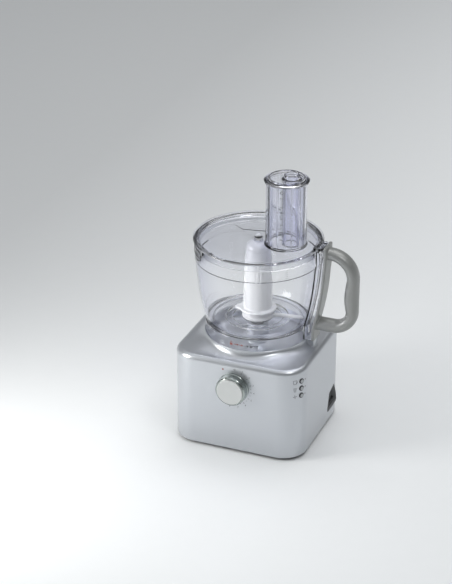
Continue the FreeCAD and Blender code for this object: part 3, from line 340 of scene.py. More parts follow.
# One look per material slot of the record.
looks = {
    "silver_paint": dict(color=(0.58, 0.60, 0.63), tint=(0.54, 0.56, 0.59), metallic=0.74, rough=0.30,
                         spread=0.03, scale=3600, amount=0.4, bump=0.035, coat=0.35, wear=0.02),
    "dark_plastic": dict(color=(0.035, 0.035, 0.038), tint=(0.06, 0.06, 0.062), rough=0.55, spread=0.2,
                         scale=1500, bump=0.25),
    "foot_rubber": dict(color=(0.025, 0.025, 0.026), tint=(0.05, 0.05, 0.05), rough=0.8, spread=0.2,
                        scale=1100, bump=0.4),
    "screw_steel": dict(color=(0.55, 0.55, 0.56), tint=(0.38, 0.38, 0.40), metallic=1.0, rough=0.32,
                        spread=0.25, scale=1800, bump=0.2, lines=(1, 1, 0.02)),
    "grip_plastic": dict(color=(0.17, 0.175, 0.178), tint=(0.22, 0.225, 0.23), rough=0.5, spread=0.2,
                         scale=1400, bump=0.35),
    "black_rubber": dict(color=(0.02, 0.02, 0.021), tint=(0.045, 0.045, 0.046), rough=0.72, spread=0.2,
                         scale=1000, bump=0.35),
    "lamination": dict(color=(0.30, 0.31, 0.34), tint=(0.12, 0.12, 0.14), metallic=0.85, rough=0.45,
                       spread=0.2, scale=900, bump=0.3, lines=(0.02, 0.02, 1)),
    "winding": dict(color=(0.50, 0.17, 0.06), tint=(0.26, 0.07, 0.03), metallic=0.6, rough=0.35,
                    spread=0.2, scale=1200, bump=0.5, lines=(0.05, 0.05, 1)),
    "cast_bracket": dict(color=(0.52, 0.53, 0.54), tint=(0.36, 0.37, 0.38), metallic=0.9, rough=0.5,
                         spread=0.25, scale=800, bump=0.4),
    "bronze": dict(color=(0.50, 0.32, 0.15), tint=(0.34, 0.20, 0.09), metallic=1.0, rough=0.42, spread=0.2,
                   scale=1600, bump=0.3),
    "carbon": dict(color=(0.03, 0.03, 0.032), tint=(0.07, 0.07, 0.07), rough=0.6, spread=0.3, scale=1300,
                   bump=0.3),
    "bezel_dark": dict(color=(0.03, 0.032, 0.036), tint=(0.055, 0.058, 0.062), rough=0.38, spread=0.15,
                       scale=2200, bump=0.15),
    "printRed": dict(color=(0.33, 0.11, 0.10), tint=(0.27, 0.10, 0.09), rough=0.5, scale=2600, bump=0.05),
    "printGrey": dict(color=(0.13, 0.135, 0.15), tint=(0.19, 0.195, 0.21), rough=0.5, scale=2600, bump=0.05),
    "lens": dict(color=(0.20, 0.14, 0.135), tint=(0.15, 0.10, 0.10), rough=0.2, spread=0.1, scale=2500,
                 bump=0.08, coat=0.5),
    "board": dict(color=(0.03, 0.16, 0.07), tint=(0.02, 0.08, 0.04), rough=0.4, spread=0.2, scale=700,
                  bump=0.3),
    "aluminium": dict(color=(0.62, 0.63, 0.65), tint=(0.48, 0.49, 0.51), metallic=1.0, rough=0.35,
                      spread=0.2, scale=1500, bump=0.25, lines=(0.03, 1, 1)),
    "capacitor": dict(color=(0.55, 0.42, 0.08), tint=(0.40, 0.30, 0.05), rough=0.35, spread=0.15,
                      scale=1000, bump=0.2),
    "spring_steel": dict(color=(0.50, 0.50, 0.52), tint=(0.34, 0.34, 0.36), metallic=1.0, rough=0.3,
                         spread=0.2, scale=2600, bump=0.2),
    "shaft_steel": dict(color=(0.60, 0.60, 0.61), tint=(0.44, 0.44, 0.46), metallic=1.0, rough=0.25,
                        spread=0.2, scale=2400, bump=0.15, lines=(0.04, 0.04, 1)),
    "copper": dict(color=(0.70, 0.32, 0.18), tint=(0.50, 0.20, 0.10), metallic=1.0, rough=0.3, spread=0.2,
                   scale=1800, bump=0.2),
    "fan_plastic": dict(color=(0.10, 0.11, 0.13), tint=(0.15, 0.16, 0.18), rough=0.5, spread=0.2,
                        scale=1200, bump=0.25),
    "pulley_plastic": dict(color=(0.62, 0.61, 0.57), tint=(0.52, 0.51, 0.47), rough=0.45, spread=0.2,
                           scale=1300, bump=0.2),
    "dial_chrome": dict(color=(0.47, 0.51, 0.49), tint=(0.40, 0.44, 0.42), metallic=1.0, rough=0.10,
                        spread=0.06, scale=2600, bump=0.03, wear=0.1),
    "dial_satin": dict(color=(0.66, 0.67, 0.66), tint=(0.55, 0.56, 0.55), metallic=0.85, rough=0.30,
                       spread=0.16, scale=2400, bump=0.12, rings="dial_face"),
    "button_grey": dict(color=(0.50, 0.52, 0.53), tint=(0.42, 0.44, 0.45), rough=0.35, spread=0.15,
                        scale=2400, bump=0.15),
    "white_plastic": dict(color=(0.72, 0.72, 0.70), tint=(0.62, 0.62, 0.60), rough=0.38, spread=0.15,
                          scale=1500, bump=0.15),
    "tool_white": dict(color=(0.70, 0.705, 0.71), tint=(0.66, 0.665, 0.67), rough=0.24, spread=0.12,
                       scale=1600, bump=0.10, coat=0.25),
    "handle_grey": dict(color=(0.33, 0.335, 0.325), tint=(0.28, 0.285, 0.275), metallic=0.35, rough=0.36,
                        spread=0.14, scale=2600, bump=0.16, coat=0.2),
    "clear_bowl": dict(clear=(0.985, 0.988, 0.995), edge=(0.62, 0.64, 0.86), rough=0.02, ior=1.42),
    "clear_lid": dict(clear=(0.98, 0.985, 0.995), edge=(0.60, 0.62, 0.86), rough=0.025, ior=1.42),
    "clear_pusher": dict(clear=(0.965, 0.965, 0.99), edge=(0.60, 0.61, 0.83), rough=0.03, ior=1.42),
}


def startMaterial(name):
    made = bpy.data.materials.new(name)
    made.use_nodes = True
    tree = made.node_tree
    tree.nodes.clear()
    out = tree.nodes.new("ShaderNodeOutputMaterial")
    coord = tree.nodes.new("ShaderNodeTexCoord").outputs["Object"]
    return made, tree, out, coord


def grainOf(tree, coord, look, color, tint):
    values = {"Vector": coord, "Scale": look.get("scale", 1500), "Color": (*color, 1), "Tint": (*tint, 1),
              "Amount": look.get("amount", 0.8), "Roughness": look["rough"],
              "Spread": look.get("spread", 0.1), "Wear": look.get("wear", 0.2)}
    return node(tree, "ShaderNodeGroup", node_tree=grainGroup), values


def fill(tree, made, values):
    for key, value in values.items():
        if hasattr(value, "is_output"):
            tree.links.new(value, made.inputs[key])
        else:
            made.inputs[key].default_value = value
    return made


def opaqueMaterial(name, look):
    made, tree, out, coord = startMaterial(name)
    grain, values = grainOf(tree, coord, look, look["color"], look["tint"])
    fill(tree, grain, values)
    color = grain.outputs["Color"]
    height = grain.outputs["Height"]
    if "lines" in look or "rings" in look:
        lines = node(tree, "ShaderNodeGroup", node_tree=linesGroup)
        centre = middle(look["rings"]) * mm if "rings" in look else Vector((0, 0, 0))
        stretch = (1, 0, 1) if "rings" in look else look["lines"]
        fill(tree, lines, {"Vector": coord, "Centre": centre, "Stretch": stretch,
                           "Rings": 1.0 if "rings" in look else 0.0, "Scale": look["scale"]})
        color = mixed(tree, scalar(tree, "MULTIPLY", lines.outputs["Value"], 0.5), color, (*look["tint"], 1))
        height = scalar(tree, "ADD", height, lines.outputs["Height"])
    bump = node(tree, "ShaderNodeBump", {"Strength": look["bump"], "Distance": 0.0002, "Height": height})
    shader = node(tree, "ShaderNodeBsdfPrincipled", {
        "Base Color": color, "Roughness": grain.outputs["Roughness"], "Normal": bump.outputs[0],
        "Metallic": look.get("metallic", 0.0), "Coat Weight": look.get("coat", 0.0), "Coat Roughness": 0.15})
    tree.links.new(shader.outputs[0], out.inputs[0])
    return made


def clearMaterial(name, look):
    made, tree, out, coord = startMaterial(name)
    grain, values = grainOf(tree, coord, dict(look, scale=700, spread=0.02, wear=0.1, amount=0.3),
                            look["clear"], [c * 0.97 for c in look["clear"]])
    fill(tree, grain, values)
    bump = node(tree, "ShaderNodeBump", {"Strength": 0.02, "Distance": 0.0002,
                                         "Height": grain.outputs["Height"]})
    facing = node(tree, "ShaderNodeLayerWeight", {"Blend": 0.30}).outputs["Facing"]
    shade = scalar(tree, "POWER", facing, 1.5)
    color = mixed(tree, shade, grain.outputs["Color"], (*look["edge"], 1))
    shader = node(tree, "ShaderNodeBsdfPrincipled", {
        "Base Color": color, "Roughness": grain.outputs["Roughness"], "Normal": bump.outputs[0],
        "Transmission Weight": 1.0, "IOR": look["ior"]})
    through = node(tree, "ShaderNodeBsdfTransparent", {"Color": (0.93, 0.935, 0.96, 1)})
    path = node(tree, "ShaderNodeLightPath")
    blend = node(tree, "ShaderNodeMixShader", {0: path.outputs["Is Shadow Ray"], 1: shader.outputs[0],
                                               2: through.outputs[0]})
    tree.links.new(blend.outputs[0], out.inputs[0])
    return made


materials = {}


def material(name):
    if name not in materials:
        look = looks[name]
        materials[name] = clearMaterial(name, look) if "clear" in look else opaqueMaterial(name, look)
    return materials[name]


for sub in frame["record"]["subparts"]:
    cadNode = frame["nodes"][sub["node"]]
    for place in cadNode.material_slots:
        place.material = material(sub["material_slot"])
    if not cadNode.material_slots:
        cadNode.data.materials.append(material(sub["material_slot"]))
print("materials made")


# base

baseShape = {
    "count": 256, "corner": 38, "edge": 8, "deck": 153, "collar": 81, "lip": 166, "seat": 79.6,
    "seatFloor": 148, "tower": 17, "bore": 10, "wall": 3, "turretHalf": 8, "turretRoom": 5.3,
}


def squareReach(half, corner, turn):
    c = abs(math.cos(turn))
    s = abs(math.sin(turn))
    flatX = half.x - corner
    flatY = half.y - corner
    if s * half.x <= flatY * c:
        return half.x / c
    if c * half.y <= flatX * s:
        return half.y / s
    along = flatX * c + flatY * s
    return along + math.sqrt(along * along - flatX * flatX - flatY * flatY + corner * corner)


def squareRing(half, inset, corner, z, count, share=0.0, inner=0.0):
    ring = []
    size = half - Vector((inset, inset))
    for i in range(count):
        turn = math.tau * i / count
        reach = squareReach(size, corner - inset, turn)
        reach += (inner - reach) * share
        ring.append(Vector((reach * math.cos(turn), reach * math.sin(turn), z)) * mm)
    return ring


def rectRing(x0, x1, y0, y1, z, rounding=1.5, steps=3):
    corners = [(x0, y0, rounding), (x1, y0, rounding), (x1, y1, rounding), (x0, y1, rounding)]
    return outlineRing(softened(corners, True, steps), z)


def makeHousing(shape):
    s = SimpleNamespace(**shape)
    half = high("housing").xy
    bottom = low("housing").z
    top = high("housing").z
    count = s.count
    corner = s.corner
    wall = s.wall
    edge = s.edge
    deck = s.deck
    rise = s.lip - deck - 1
    rings = [squareRing(half, 1.2, corner, bottom, count), squareRing(half, 0.4, corner, bottom + 0.4, count),
             squareRing(half, 0, corner, bottom + 1.4, count)]
    rings += [squareRing(half, 0, corner, z, count) for z in (40, 75, 110)]
    for k in range(11):
        turn = math.pi / 2 * k / 10
        inset = edge * (1 - math.cos(turn))
        rings.append(squareRing(half, inset, corner, deck - edge + edge * math.sin(turn), count))
    for k in range(1, 15):
        turn = math.pi / 2 * k / 14
        rings.append(squareRing(half, edge, corner, deck + rise * (1 - math.cos(turn)), count,
                                math.sin(turn), s.collar))
    circles = [(s.collar - 0.1, s.lip - 0.5), (s.collar - 0.45, s.lip - 0.1),
               (s.collar - 0.8, s.lip), (s.seat + 0.25, s.lip - 0.1),
               (s.seat, s.lip - 0.5), (s.seat, s.seatFloor + 3),
               (s.seat - 0.9, s.seatFloor + 0.9), (s.seat - 3, s.seatFloor),
               (s.tower + 4, s.seatFloor), (s.tower + 1.2, s.seatFloor + 1.2),
               (s.tower, s.seatFloor + 4), (s.tower, top - 1),
               (s.tower - 1, top), (s.bore + 0.6, top), (s.bore, top - 0.6),
               (s.bore, s.seatFloor - wall), (s.collar + 1.6, s.seatFloor - wall),
               (s.collar + 1.6, deck - wall)]
    rings += [circleRing(r, z, count) for r, z in circles]
    rings += [squareRing(half, edge + wall, corner, deck - wall, count),
              squareRing(half, wall, corner, deck - edge - wall, count),
              squareRing(half, wall, corner, bottom, count), rings[0]]
    shell = loft("housingShell", rings)
    # the turret that takes the interlock plunger
    plunger = middle("interlock_plunger")
    out = plunger.x + s.turretRoom
    side = s.turretHalf
    turret = loft("turret", [rectRing(s.seat + 0.4, out + grow, -side - grow, side + grow, z, 2.4)
                             for z, grow in ((deck - 2, 0.8), (deck + 1, 0.8), (deck + 2.5, 0),
                                             (s.lip - 0.8, 0), (s.lip - 0.1, -0.7))])
    union(shell, turret)
    bore = ((3.1, deck - 8), (3.1, s.lip - 0.9), (4.1, s.lip + 0.3))
    carve(shell, loft("plungerHole", [circleRing(r, z, 32, plunger.xy) for r, z in bore]))
    return shell


def recessOutline(inset, front=30, back=77, bottom=20, top=58):
    slope = (back - front) / 5
    corners = [(front, bottom, 5), (back, bottom, 5), (back - slope / 2, (bottom + top) / 2, 14),
               (back - slope * 1.6, top, 5), (front + slope, top - slope / 1.6, 6)]
    points = softened(corners, True, 6)
    centre = sum(points, Vector((0, 0))) / len(points)
    return [p + (centre - p).normalized() * inset for p in points]


def sideRing(x, inset):
    return [Vector((x, y, z)) * mm for y, z in recessOutline(inset)]


housing = makeHousing(baseShape)
for side in (-1, 1):
    face = high("housing").x
    carve(housing, loft("recess", [sideRing(side * (face - deep), inset) for deep, inset in
                                   ((20, 0), (0.8, 0), (-1, -1.2))]))
dialAt = middle("dial_face")
carve(housing, placed(slab("shaftHole", disc(3.05, 32), -10, 10),
                      standing((0, -1, 0), (dialAt.x, -97, dialAt.z))))
glandAt = middle("cord_gland")
carve(housing, placed(slab("glandHole", disc(7, 48), -10, 10),
                      standing((0, 1, 0), (glandAt.x, 99, glandAt.z))))
buttonAngle = math.radians(63)
cornerAxis = Vector((high("housing").x - baseShape["corner"], low("housing").y + baseShape["corner"]))


def atCorner(shift, out, z):
    turn = buttonAngle + shift
    normal = Vector((math.sin(turn), -math.cos(turn), 0))
    spot = Vector((cornerAxis.x, cornerAxis.y, z)) + normal * out
    return standing(normal, spot)


buttonHeights = [middle(name).z for name in ("upper_button", "middle_button", "lower_button")]
for z in buttonHeights:
    carve(housing, placed(slab("bezelHole", disc(4.2, 40), -8, 8),
                          atCorner(0, 38, z)))
    carve(housing, placed(slab("lensHole", disc(1, 20), -8, 8),
                          atCorner(0.225, 38, z)))
settle(housing, "power_unit", "silver_paint", "housing", angle=28)
print("housing made")


def makeBaseParts():
    half = high("base_cover").xy
    cover = loft("baseCover", [squareRing(half, inset, 34, z, 128) for z, inset in (
        (low("base_cover").z, 0.8), (low("base_cover").z + 0.6, 0), (high("base_cover").z, 0))])
    slots = [slab(f"slot{i}", rounded(44, 3.2, 1.5), -10, 20) for i in range(7)]
    for i, slot in enumerate(slots):
        placed(slot, Matrix.Translation(Vector((-50, 21 + 9 * i, 0)) * mm))
    carve(cover, joined("slots", slots))
    settle(cover, "power_unit", "dark_plastic", "base_cover")
    foot = high("feet") - low("feet")
    reach = high("feet") - Vector((11, 11, 0))
    base = lathe("foot", [(0, 0.8), (6.5, 0.8), (7.5, 0, 0.6), (10.4, 0, 0.8), (11, 1.6, 0.5),
                          (10.6, foot.z, 0.3), (0, foot.z)], 48, closed=False)
    for i, (x, y) in enumerate(((-1, -1), (1, -1), (-1, 1), (1, 1))):
        twin = copied(base, f"foot{i}", Matrix.Translation(Vector((x * reach.x, y * reach.y, 0)) * mm))
        settle(twin, "power_unit", "foot_rubber", "feet")
    bpy.data.objects.remove(base, do_unlink=True)
    for side, label in ((-1, "left"), (1, "right")):
        face = high("housing").x
        rows = [(0.4, 0.5), (0.1, 0.8), (0.1, 1.7), (1.0, 2.2), (10.5, 3.2), (12, 6.0), (12, 16)]
        backs = [(14, 16), (14, 4.0), (12, 1.2), (0.6, 0.3)]
        cup = loft("handRecess_" + label, [sideRing(side * (face - deep), inset)
                                           for deep, inset in rows + backs + rows[:1]])
        ribs = [slab(f"rib{i}", [(side * (face - deep), 36 + 6 * i + y) for deep, y in
                                 ((13, -0.7), (5, -0.5), (5, 0.5), (13, 0.7))], 24, 46 + 2 * i, 0.4, 2)
                for i in range(5)]
        union(cup, *ribs)
        settle(cup, "power_unit", "grip_plastic", "side_grips")
    gland = lathe("cordGland", [
        (3.6, -4.6), (9, -4.6, 0.6), (9, -3.1, 0.4), (6.9, -3.0), (6.9, 0), (10, 0, 0.3),
        (10, 1.6, 1.2), (6.4, 2.4, 0.8), (5.6, 7, 0.8), (3.6, 7, 0.4)], 64)
    placed(gland, standing((0, 1, 0), (glandAt.x, high("housing").y, glandAt.z)))
    settle(gland, "power_unit", "black_rubber", "cord_gland")


def rounded(length, width, rounding, steps=4):
    x = length / 2
    y = width / 2
    return softened([(-x, -y, rounding), (x, -y, rounding), (x, y, rounding), (-x, y, rounding)], True, steps)


makeBaseParts()
print("base parts made")


# dial, buttons and the marks printed round them

dialShape = {"radius": 24.5, "face": 20.5, "depth": 15.5, "gap": 0.5, "markReach": 33}
frontY = low("housing").y


def onFront(x, z, out=0.0):
    return standing((0, -1, 0), (dialAt.x + x, frontY - out, dialAt.z + z))


def makeDial(shape):
    s = SimpleNamespace(**shape)
    depth = s.depth + s.gap
    knob = lathe("dialKnob", [(21.5, s.gap), (s.radius, s.gap, 0.5),
                              (s.radius - 0.15, 3.2, 0.3), (s.radius - 0.7, 3.8, 0.2),
                              (s.radius - 0.55, 4.4, 0.3), (s.radius - 0.9, depth - 2.4, 1.6),
                              (s.face + 1.0, depth, 1.0), (s.face + 0.2, depth - 0.5, 0.2),
                              (s.face + 0.1, depth - 2.4), (3, depth - 2.4), (3, 6), (21.5, 6)],
                 128)
    placed(knob, onFront(0, 0))
    settle(knob, "dial", "dial_chrome", "speed_dial")
    face = lathe("dialFace", [
        (0, depth - 2.3), (s.face, depth - 2.3), (s.face, depth + 0.4, 0.4),
        (s.face - 1.6, depth + 0.55, 0.4), (s.face * 0.6, depth + 0.2, 9),
        (0, depth + 0.1)], 128, closed=False)
    dimple = slab("dimple", rounded(5.4, 1.2, 0.6), depth - 0.25, depth + 3)
    placed(dimple, Matrix.Rotation(math.pi / 2, 4, "Z"))
    placed(dimple, Matrix.Translation(Vector((0, s.face - 4.6, 0)) * mm))
    carve(face, dimple)
    placed(face, onFront(0, 0))
    settle(face, "dial", "dial_satin", "dial_face")


def makeText(name, text, size):
    deselect()
    bpy.ops.object.text_add()
    obj = bpy.context.object
    obj.data.body = text
    obj.data.size = size * mm
    obj.data.align_x = "CENTER"
    obj.data.align_y = "CENTER"
    obj.data.extrude = 0.03 * mm
    obj.data.resolution_u = 3
    bpy.ops.object.convert(target="MESH")
    obj.name = name
    obj.data.name = name
    return obj


def flatMark(name, outline, thick=0.06):
    return slab(name, outline, -thick, thick)


def ringMark(name, outer, inner, thick=0.06, count=24):
    return loft(name, [circleRing(r, z, count) for r, z in (
        (inner, -thick), (outer, -thick), (outer, thick), (inner, thick), (inner, -thick))])


def strokeMark(name, points, width, closed=False):
    parts = []
    pairs = list(zip(points, points[1:] + points[:1] if closed else points[1:]))
    for i, (start, stop) in enumerate(pairs):
        start = Vector(start)
        stop = Vector(stop)
        along = (stop - start).normalized()
        across = Vector((-along.y, along.x)) * width / 2
        start = start - along * width * 0.35
        stop = stop + along * width * 0.35
        parts.append(flatMark(f"{name}{i}", [start - across, stop - across, stop + across, start + across],
                              0.05 + 0.002 * i))
    return joined(name, parts) if len(parts) > 1 else parts[0]


def makeDialMarks(shape):
    reach = shape["markReach"]
    marks = []
    for i in range(8):
        turn = math.radians(26 + 23.5 * i)
        spot = (reach * math.sin(turn), reach * math.cos(turn))
        number = makeText(f"number{i}", str(i + 1), 4.2)
        marks.append(placed(number, onFront(*spot)))
        for k in range(1 if i == 7 else 2):
            turnTick = turn + math.radians(23.5 / 2 * k)
            radius = 28.0 if k else 28.4
            tick = flatMark("tick", rounded(0.5 if k else 0.7, 1.5 if k else 2.3, 0.12, 1))
            placed(tick, Matrix.Translation(Vector((0, radius, 0)) * mm))
            placed(tick, Matrix.Rotation(-turnTick, 4, "Z"))
            marks.append(placed(tick, onFront(0, 0)))
    marks.append(placed(ringMark("offRing", 1.5, 0.95), onFront(1.7, 30.6)))
    dark = joined("dialMarks", marks)
    settle(dark, "power_unit", "bezel_dark")
    dot = flatMark("pulseDot", disc(1.5, 24), 0.08)
    placed(dot, onFront(-17, 28))
    settle(dot, "power_unit", "lens", look="printRed")


def makeButtons():
    cap = lathe("cap", [(0, -6), (3.5, -6), (3.5, -4.6), (2.65, -4.5), (2.65, 1.7, 0.45), (1.9, 1.95, 0.5),
                        (0, 1.75)], 40, closed=False)
    bezel = lathe("bezel", [(2.85, -3), (4.15, -3), (4.15, 0.9, 0.5), (3.4, 1.2, 0.3), (2.85, 0.9, 0.2)], 48)
    lens = lathe("lens", [(0, -3), (0.95, -3), (0.95, 0.1, 0.2), (0.5, 0.35, 0.3), (0, 0.4)], 24,
                 closed=False)
    names = ("upper_button", "middle_button", "lower_button")
    for i, (label, z) in enumerate(zip(names, buttonHeights)):
        settle(copied(cap, "cap_" + label, atCorner(0, 38, z)), label, "button_grey", label)
        settle(copied(bezel, "bezel_" + label, atCorner(0, 38, z)), "power_unit", "bezel_dark",
               "button_bezels")
        settle(copied(lens, "lens_" + label, atCorner(0.225, 38, z)), "power_unit", "lens",
               "indicator_lenses")
    for spare in (cap, bezel, lens):
        bpy.data.objects.remove(spare, do_unlink=True)


def makeIcons():
    bowlIcon = strokeMark("bowlIcon", [(-2.0, 1.6), (-1.5, -1.9), (1.2, -1.9), (1.7, 1.2)], 0.45)
    handleIcon = strokeMark("handleIcon", [(1.6, 1.0), (2.4, 0.8), (2.3, -0.6), (1.5, -0.9)], 0.4)
    lidIcon = strokeMark("lidIcon", [(-2.2, 2.1), (1.9, 2.1)], 0.45)
    rows = [strokeMark(f"row{i}", [(-1.9 + 0.3 * i, 1.4 - 1.2 * i), (1.9 - 0.3 * i, 1.4 - 1.2 * i)], 0.45)
            for i in range(4)]
    blades = []
    for i in range(4):
        blade = flatMark(f"blade{i}", [(0.2, 0.0), (1.1, 0.5), (2.3, 0.4), (1.3, -0.3)])
        blades.append(placed(blade, Matrix.Rotation(math.pi / 2 * i, 4, "Z")))
    blades.append(ringMark("bladeHub", 0.55, 0.25))
    icons = (joined("icons0", [bowlIcon, handleIcon, lidIcon]), joined("icons1", rows),
             joined("icons2", blades))
    for icon, z in zip(icons, buttonHeights):
        placed(icon, atCorner(-0.30, 38, z) @ Matrix.Scale(1.5, 4))
    settle(joined("buttonIcons", list(icons)), "power_unit", "bezel_dark", look="printGrey")


makeDial(dialShape)
makeDialMarks(dialShape)
makeButtons()
makeIcons()
print("controls made")


# bowl, handle

bowlShape = {
    "skirt": 79, "foot": 148.4, "floorLow": 183.5, "floorTop": 186.5, "floorRadius": 78, "wall": 2.6,
    "taper": 94.3, "step": 285.5, "zone": 95.5, "top": 314.5, "curve": 424, "tube": 15.5, "tubeTop": 236,
    "bossDepth": 11.5, "bossHalf": 13, "bossFoot": 166.4, "bossTop": 318, "bossSide": 2.2,
}


def rawRadius(z, shape):
    s = SimpleNamespace(**shape)
    if z <= s.floorLow - 1:
        return s.skirt
    if z >= s.step + 1.2:
        return s.zone
    rise = s.step - s.floorLow
    run = s.taper - s.floorRadius
    chord = math.hypot(rise, run)
    back = math.sqrt(s.curve ** 2 - (chord / 2) ** 2)
    centreR = (s.floorRadius + s.taper) / 2 - back * rise / chord
    centreZ = (s.floorLow + s.step) / 2 + back * run / chord
    z = min(max(z, s.floorLow), s.step)
    return centreR + math.sqrt(s.curve ** 2 - (z - centreZ) ** 2)


def easedRadius(z, shape):
    return sum(rawRadius(z + d, shape) for d in (-6, -4, -2, 0, 2, 4, 6)) / 7


def makeBowl(shape):
    s = SimpleNamespace(**shape)
    wall = s.wall
    zs = [s.floorLow + (s.step - s.floorLow) * k / 18 for k in range(1, 18)]
    outer = [(rawRadius(z, shape), z) for z in zs]
    inner = [(r - wall, z) for r, z in reversed(outer) if z > s.floorTop + 6]
    top = s.top
    profile = [(s.skirt - wall, s.foot, 0.6), (s.skirt, s.foot, 0.8),
               (s.skirt, s.floorLow - 1.4, 0.5),
               (s.floorRadius, s.floorLow - 0.2, 0.4)]
    profile += outer
    profile += [(s.taper, s.step, 0.4), (s.zone, s.step + 1.2, 0.5),
                (s.zone, top, 0.9), (s.zone - wall, top, 0.9),
                (s.zone - wall, s.step + 1.2, 0.4), (s.taper - wall, s.step, 0.4)]
    profile += inner
    f = s.floorTop
    profile += [(rawRadius(f + 5, shape) - wall, f + 5), (s.floorRadius - wall, f + 0.9, 0.4),
                (s.floorRadius - wall - 0.9, f, 0.4),
                (49.6, f, 0.5), (48.6, f + 1.2, 0.4), (46.8, f + 1.2, 0.4), (45.9, f, 0.5),
                (39.4, f, 0.4), (38.7, f + 1, 0.3), (37.5, f + 1, 0.3), (36.8, f, 0.4),
                (24, f, 0.5), (23.4, f + 0.7, 0.3), (21, f + 0.7, 0.3), (20.4, f, 0.4),
                (s.tube + 1.2, f, 1.0), (s.tube, f + 2.4, 1.0),
                (s.tube - 0.2, s.tubeTop, 0.8),
                (13, s.tubeTop, 0.6), (13, s.floorLow, 0.3),
                (66, s.floorLow, 0.2), (66.5, s.floorLow - 1, 0.2),
                (68, s.floorLow - 1, 0.2),
                (68.5, s.floorLow, 0.2), (s.skirt - wall, s.floorLow, 1.2)]
    bowl = lathe("bowlShell", profile, 160, steps=3)
    foot = s.bossFoot
    out = s.bossDepth
    side = s.bossHalf
    zs = [foot + 0.01 + (s.bossTop - foot - 0.02) * k / 30 for k in range(31)]
    eased = [(easedRadius(z, shape), z) for z in zs]
    boss = loft("boss", [rectRing(r - 1.5, r + out, -side, side, z, 0.9) for r, z in eased])
    thin = side - s.bossSide
    eased = [(easedRadius(foot - 3, shape), foot - 3)] + eased[:-1]
    hollow = loft("bossHollow", [rectRing(r + 0.9, r + out + 4, -thin, thin, z, 0.8) for r, z in eased])
    carve(boss, hollow, lathe("ringRoom", [(60, top + 0.2), (98.4, top + 0.2), (98.4, 322), (60, 322)], 160))
    union(bowl, boss)
    # raised lugs and the rib below the rim
    for start, stop in ((206, 228), (112, 134)):
        union(bowl, arcBlock("lug", start, stop, s.zone - 1, s.zone + 0.9, 297, 311, 0.5))
        carve(bowl, arcBlock("lugFace", start + 1.6, stop - 1.6, s.zone + 0.35, s.zone + 3,
                             299.4, 308.6, 0.3))
    for centre in (-67.5, -71.0):
        union(bowl, arcBlock("rib", centre - 0.7, centre + 0.7, s.zone - 1, s.zone + 1.6, 287.4,
                             313.4, 0.5))
    return bowl


def arcBlock(name, start, stop, inner, outer, bottom, top, edge):
    count = max(3, int((stop - start) / 2))
    turns = [math.radians(start + (stop - start) * k / count) for k in range(count + 1)]
    outline = [(outer * math.cos(t), outer * math.sin(t)) for t in turns]
    outline += [(inner * math.cos(t), inner * math.sin(t)) for t in reversed(turns)]
    return slab(name, outline, bottom, top, edge, 2)


handleShape = {
    "low": 182, "top": 318, "reach": 159.5, "corner": 45, "heel": 38, "thick": 18.3, "half": 11.9,
    "armTop": 17, "armLow": 19.5, "plateThick": 5, "plateHalf": 15, "plateTop": 322.5, "bulge": 3.4,
    "roundness": 0.84, "voxel": 0.75,
}


def makeHandle(shape, bowl):
    s = SimpleNamespace(**shape)
    rows = []
    x = s.reach
    corner = s.corner
    heel = s.heel
    arm = s.armTop
    upper = Vector((x - corner, s.top - corner))
    lower = Vector((x - heel, s.low + heel))
    for k in range(5):
        lean = 104 + (upper.x - 104) * k / 5
        rows.append((Vector((lean, s.top)), Vector((lean, s.top - arm))))
    for k in range(13):
        turn = math.pi / 2 * (1 - k / 12)
        way = Vector((math.cos(turn), math.sin(turn)))
        inner = corner - arm - (s.thick - arm) * k / 12
        rows.append((upper + way * corner, upper + way * inner))
    for k in range(1, 12):
        t = k / 12
        z = upper.y + (lower.y - upper.y) * t
        bulge = s.bulge * math.sin(math.pi * t ** 1.15)
        rows.append((Vector((x, z)), Vector((x - s.thick - bulge, z))))
    for k in range(13):
        turn = -math.pi / 2 * k / 12
        way = Vector((math.cos(turn), math.sin(turn)))
        thick = s.thick + (s.armLow - s.thick) * k / 12
        rows.append((lower + way * heel, lower + way * (heel - thick)))
    for k in range(1, 6):
        lean = lower.x + (92 - lower.x) * k / 5
        rows.append((Vector((lean, s.low)), Vector((lean, s.low + s.armLow))))
    rings = []
    for outer, inner in rows:
        centre = (outer + inner) / 2
        way = (outer - inner) / 2
        ring = []
        for k in range(40):
            turn = math.tau * k / 40
            across = math.copysign(abs(math.cos(turn)) ** s.roundness, math.cos(turn))
            width = math.copysign(abs(math.sin(turn)) ** s.roundness, math.sin(turn)) * s.half
            spot = centre + way * across
            ring.append(Vector((spot.x, width, spot.y)) * mm)
        rings.append(ring)
    grip = loft("handleGrip", rings)
    foot = bowl["bossFoot"]
    out = bowl["bossDepth"]
    zs = [foot + (s.plateTop - foot) * k / 32 for k in range(33)]
    plate = loft("handlePlate", [rectRing(easedRadius(z, bowl) + out + 0.05,
                                          easedRadius(z, bowl) + out + s.plateThick,
                                          -s.plateHalf, s.plateHalf, z, 2.2) for z in zs])
    union(grip, plate)
    applied(grip, "REMESH", mode="VOXEL", voxel_size=s.voxel * mm)
    applied(grip, "SMOOTH", factor=0.5, iterations=7)
    carve(grip, lathe("plungerRoom", [(0, foot - 4), (3.2, foot - 4), (3.2, foot + 5), (0, foot + 5)], 32,
                      middle("interlock_plunger").xy, closed=False))
    grip.name = "handleGrip"
    return grip


bowl = makeBowl(bowlShape)
settle(bowl, "bowl", "clear_bowl", "bowl", angle=26)
print("bowl made")
handle = makeHandle(handleShape, bowlShape)
settle(handle, "bowl", "handle_grey", "handle", angle=50)
print("handle made")


# lid, feed tube, pushers

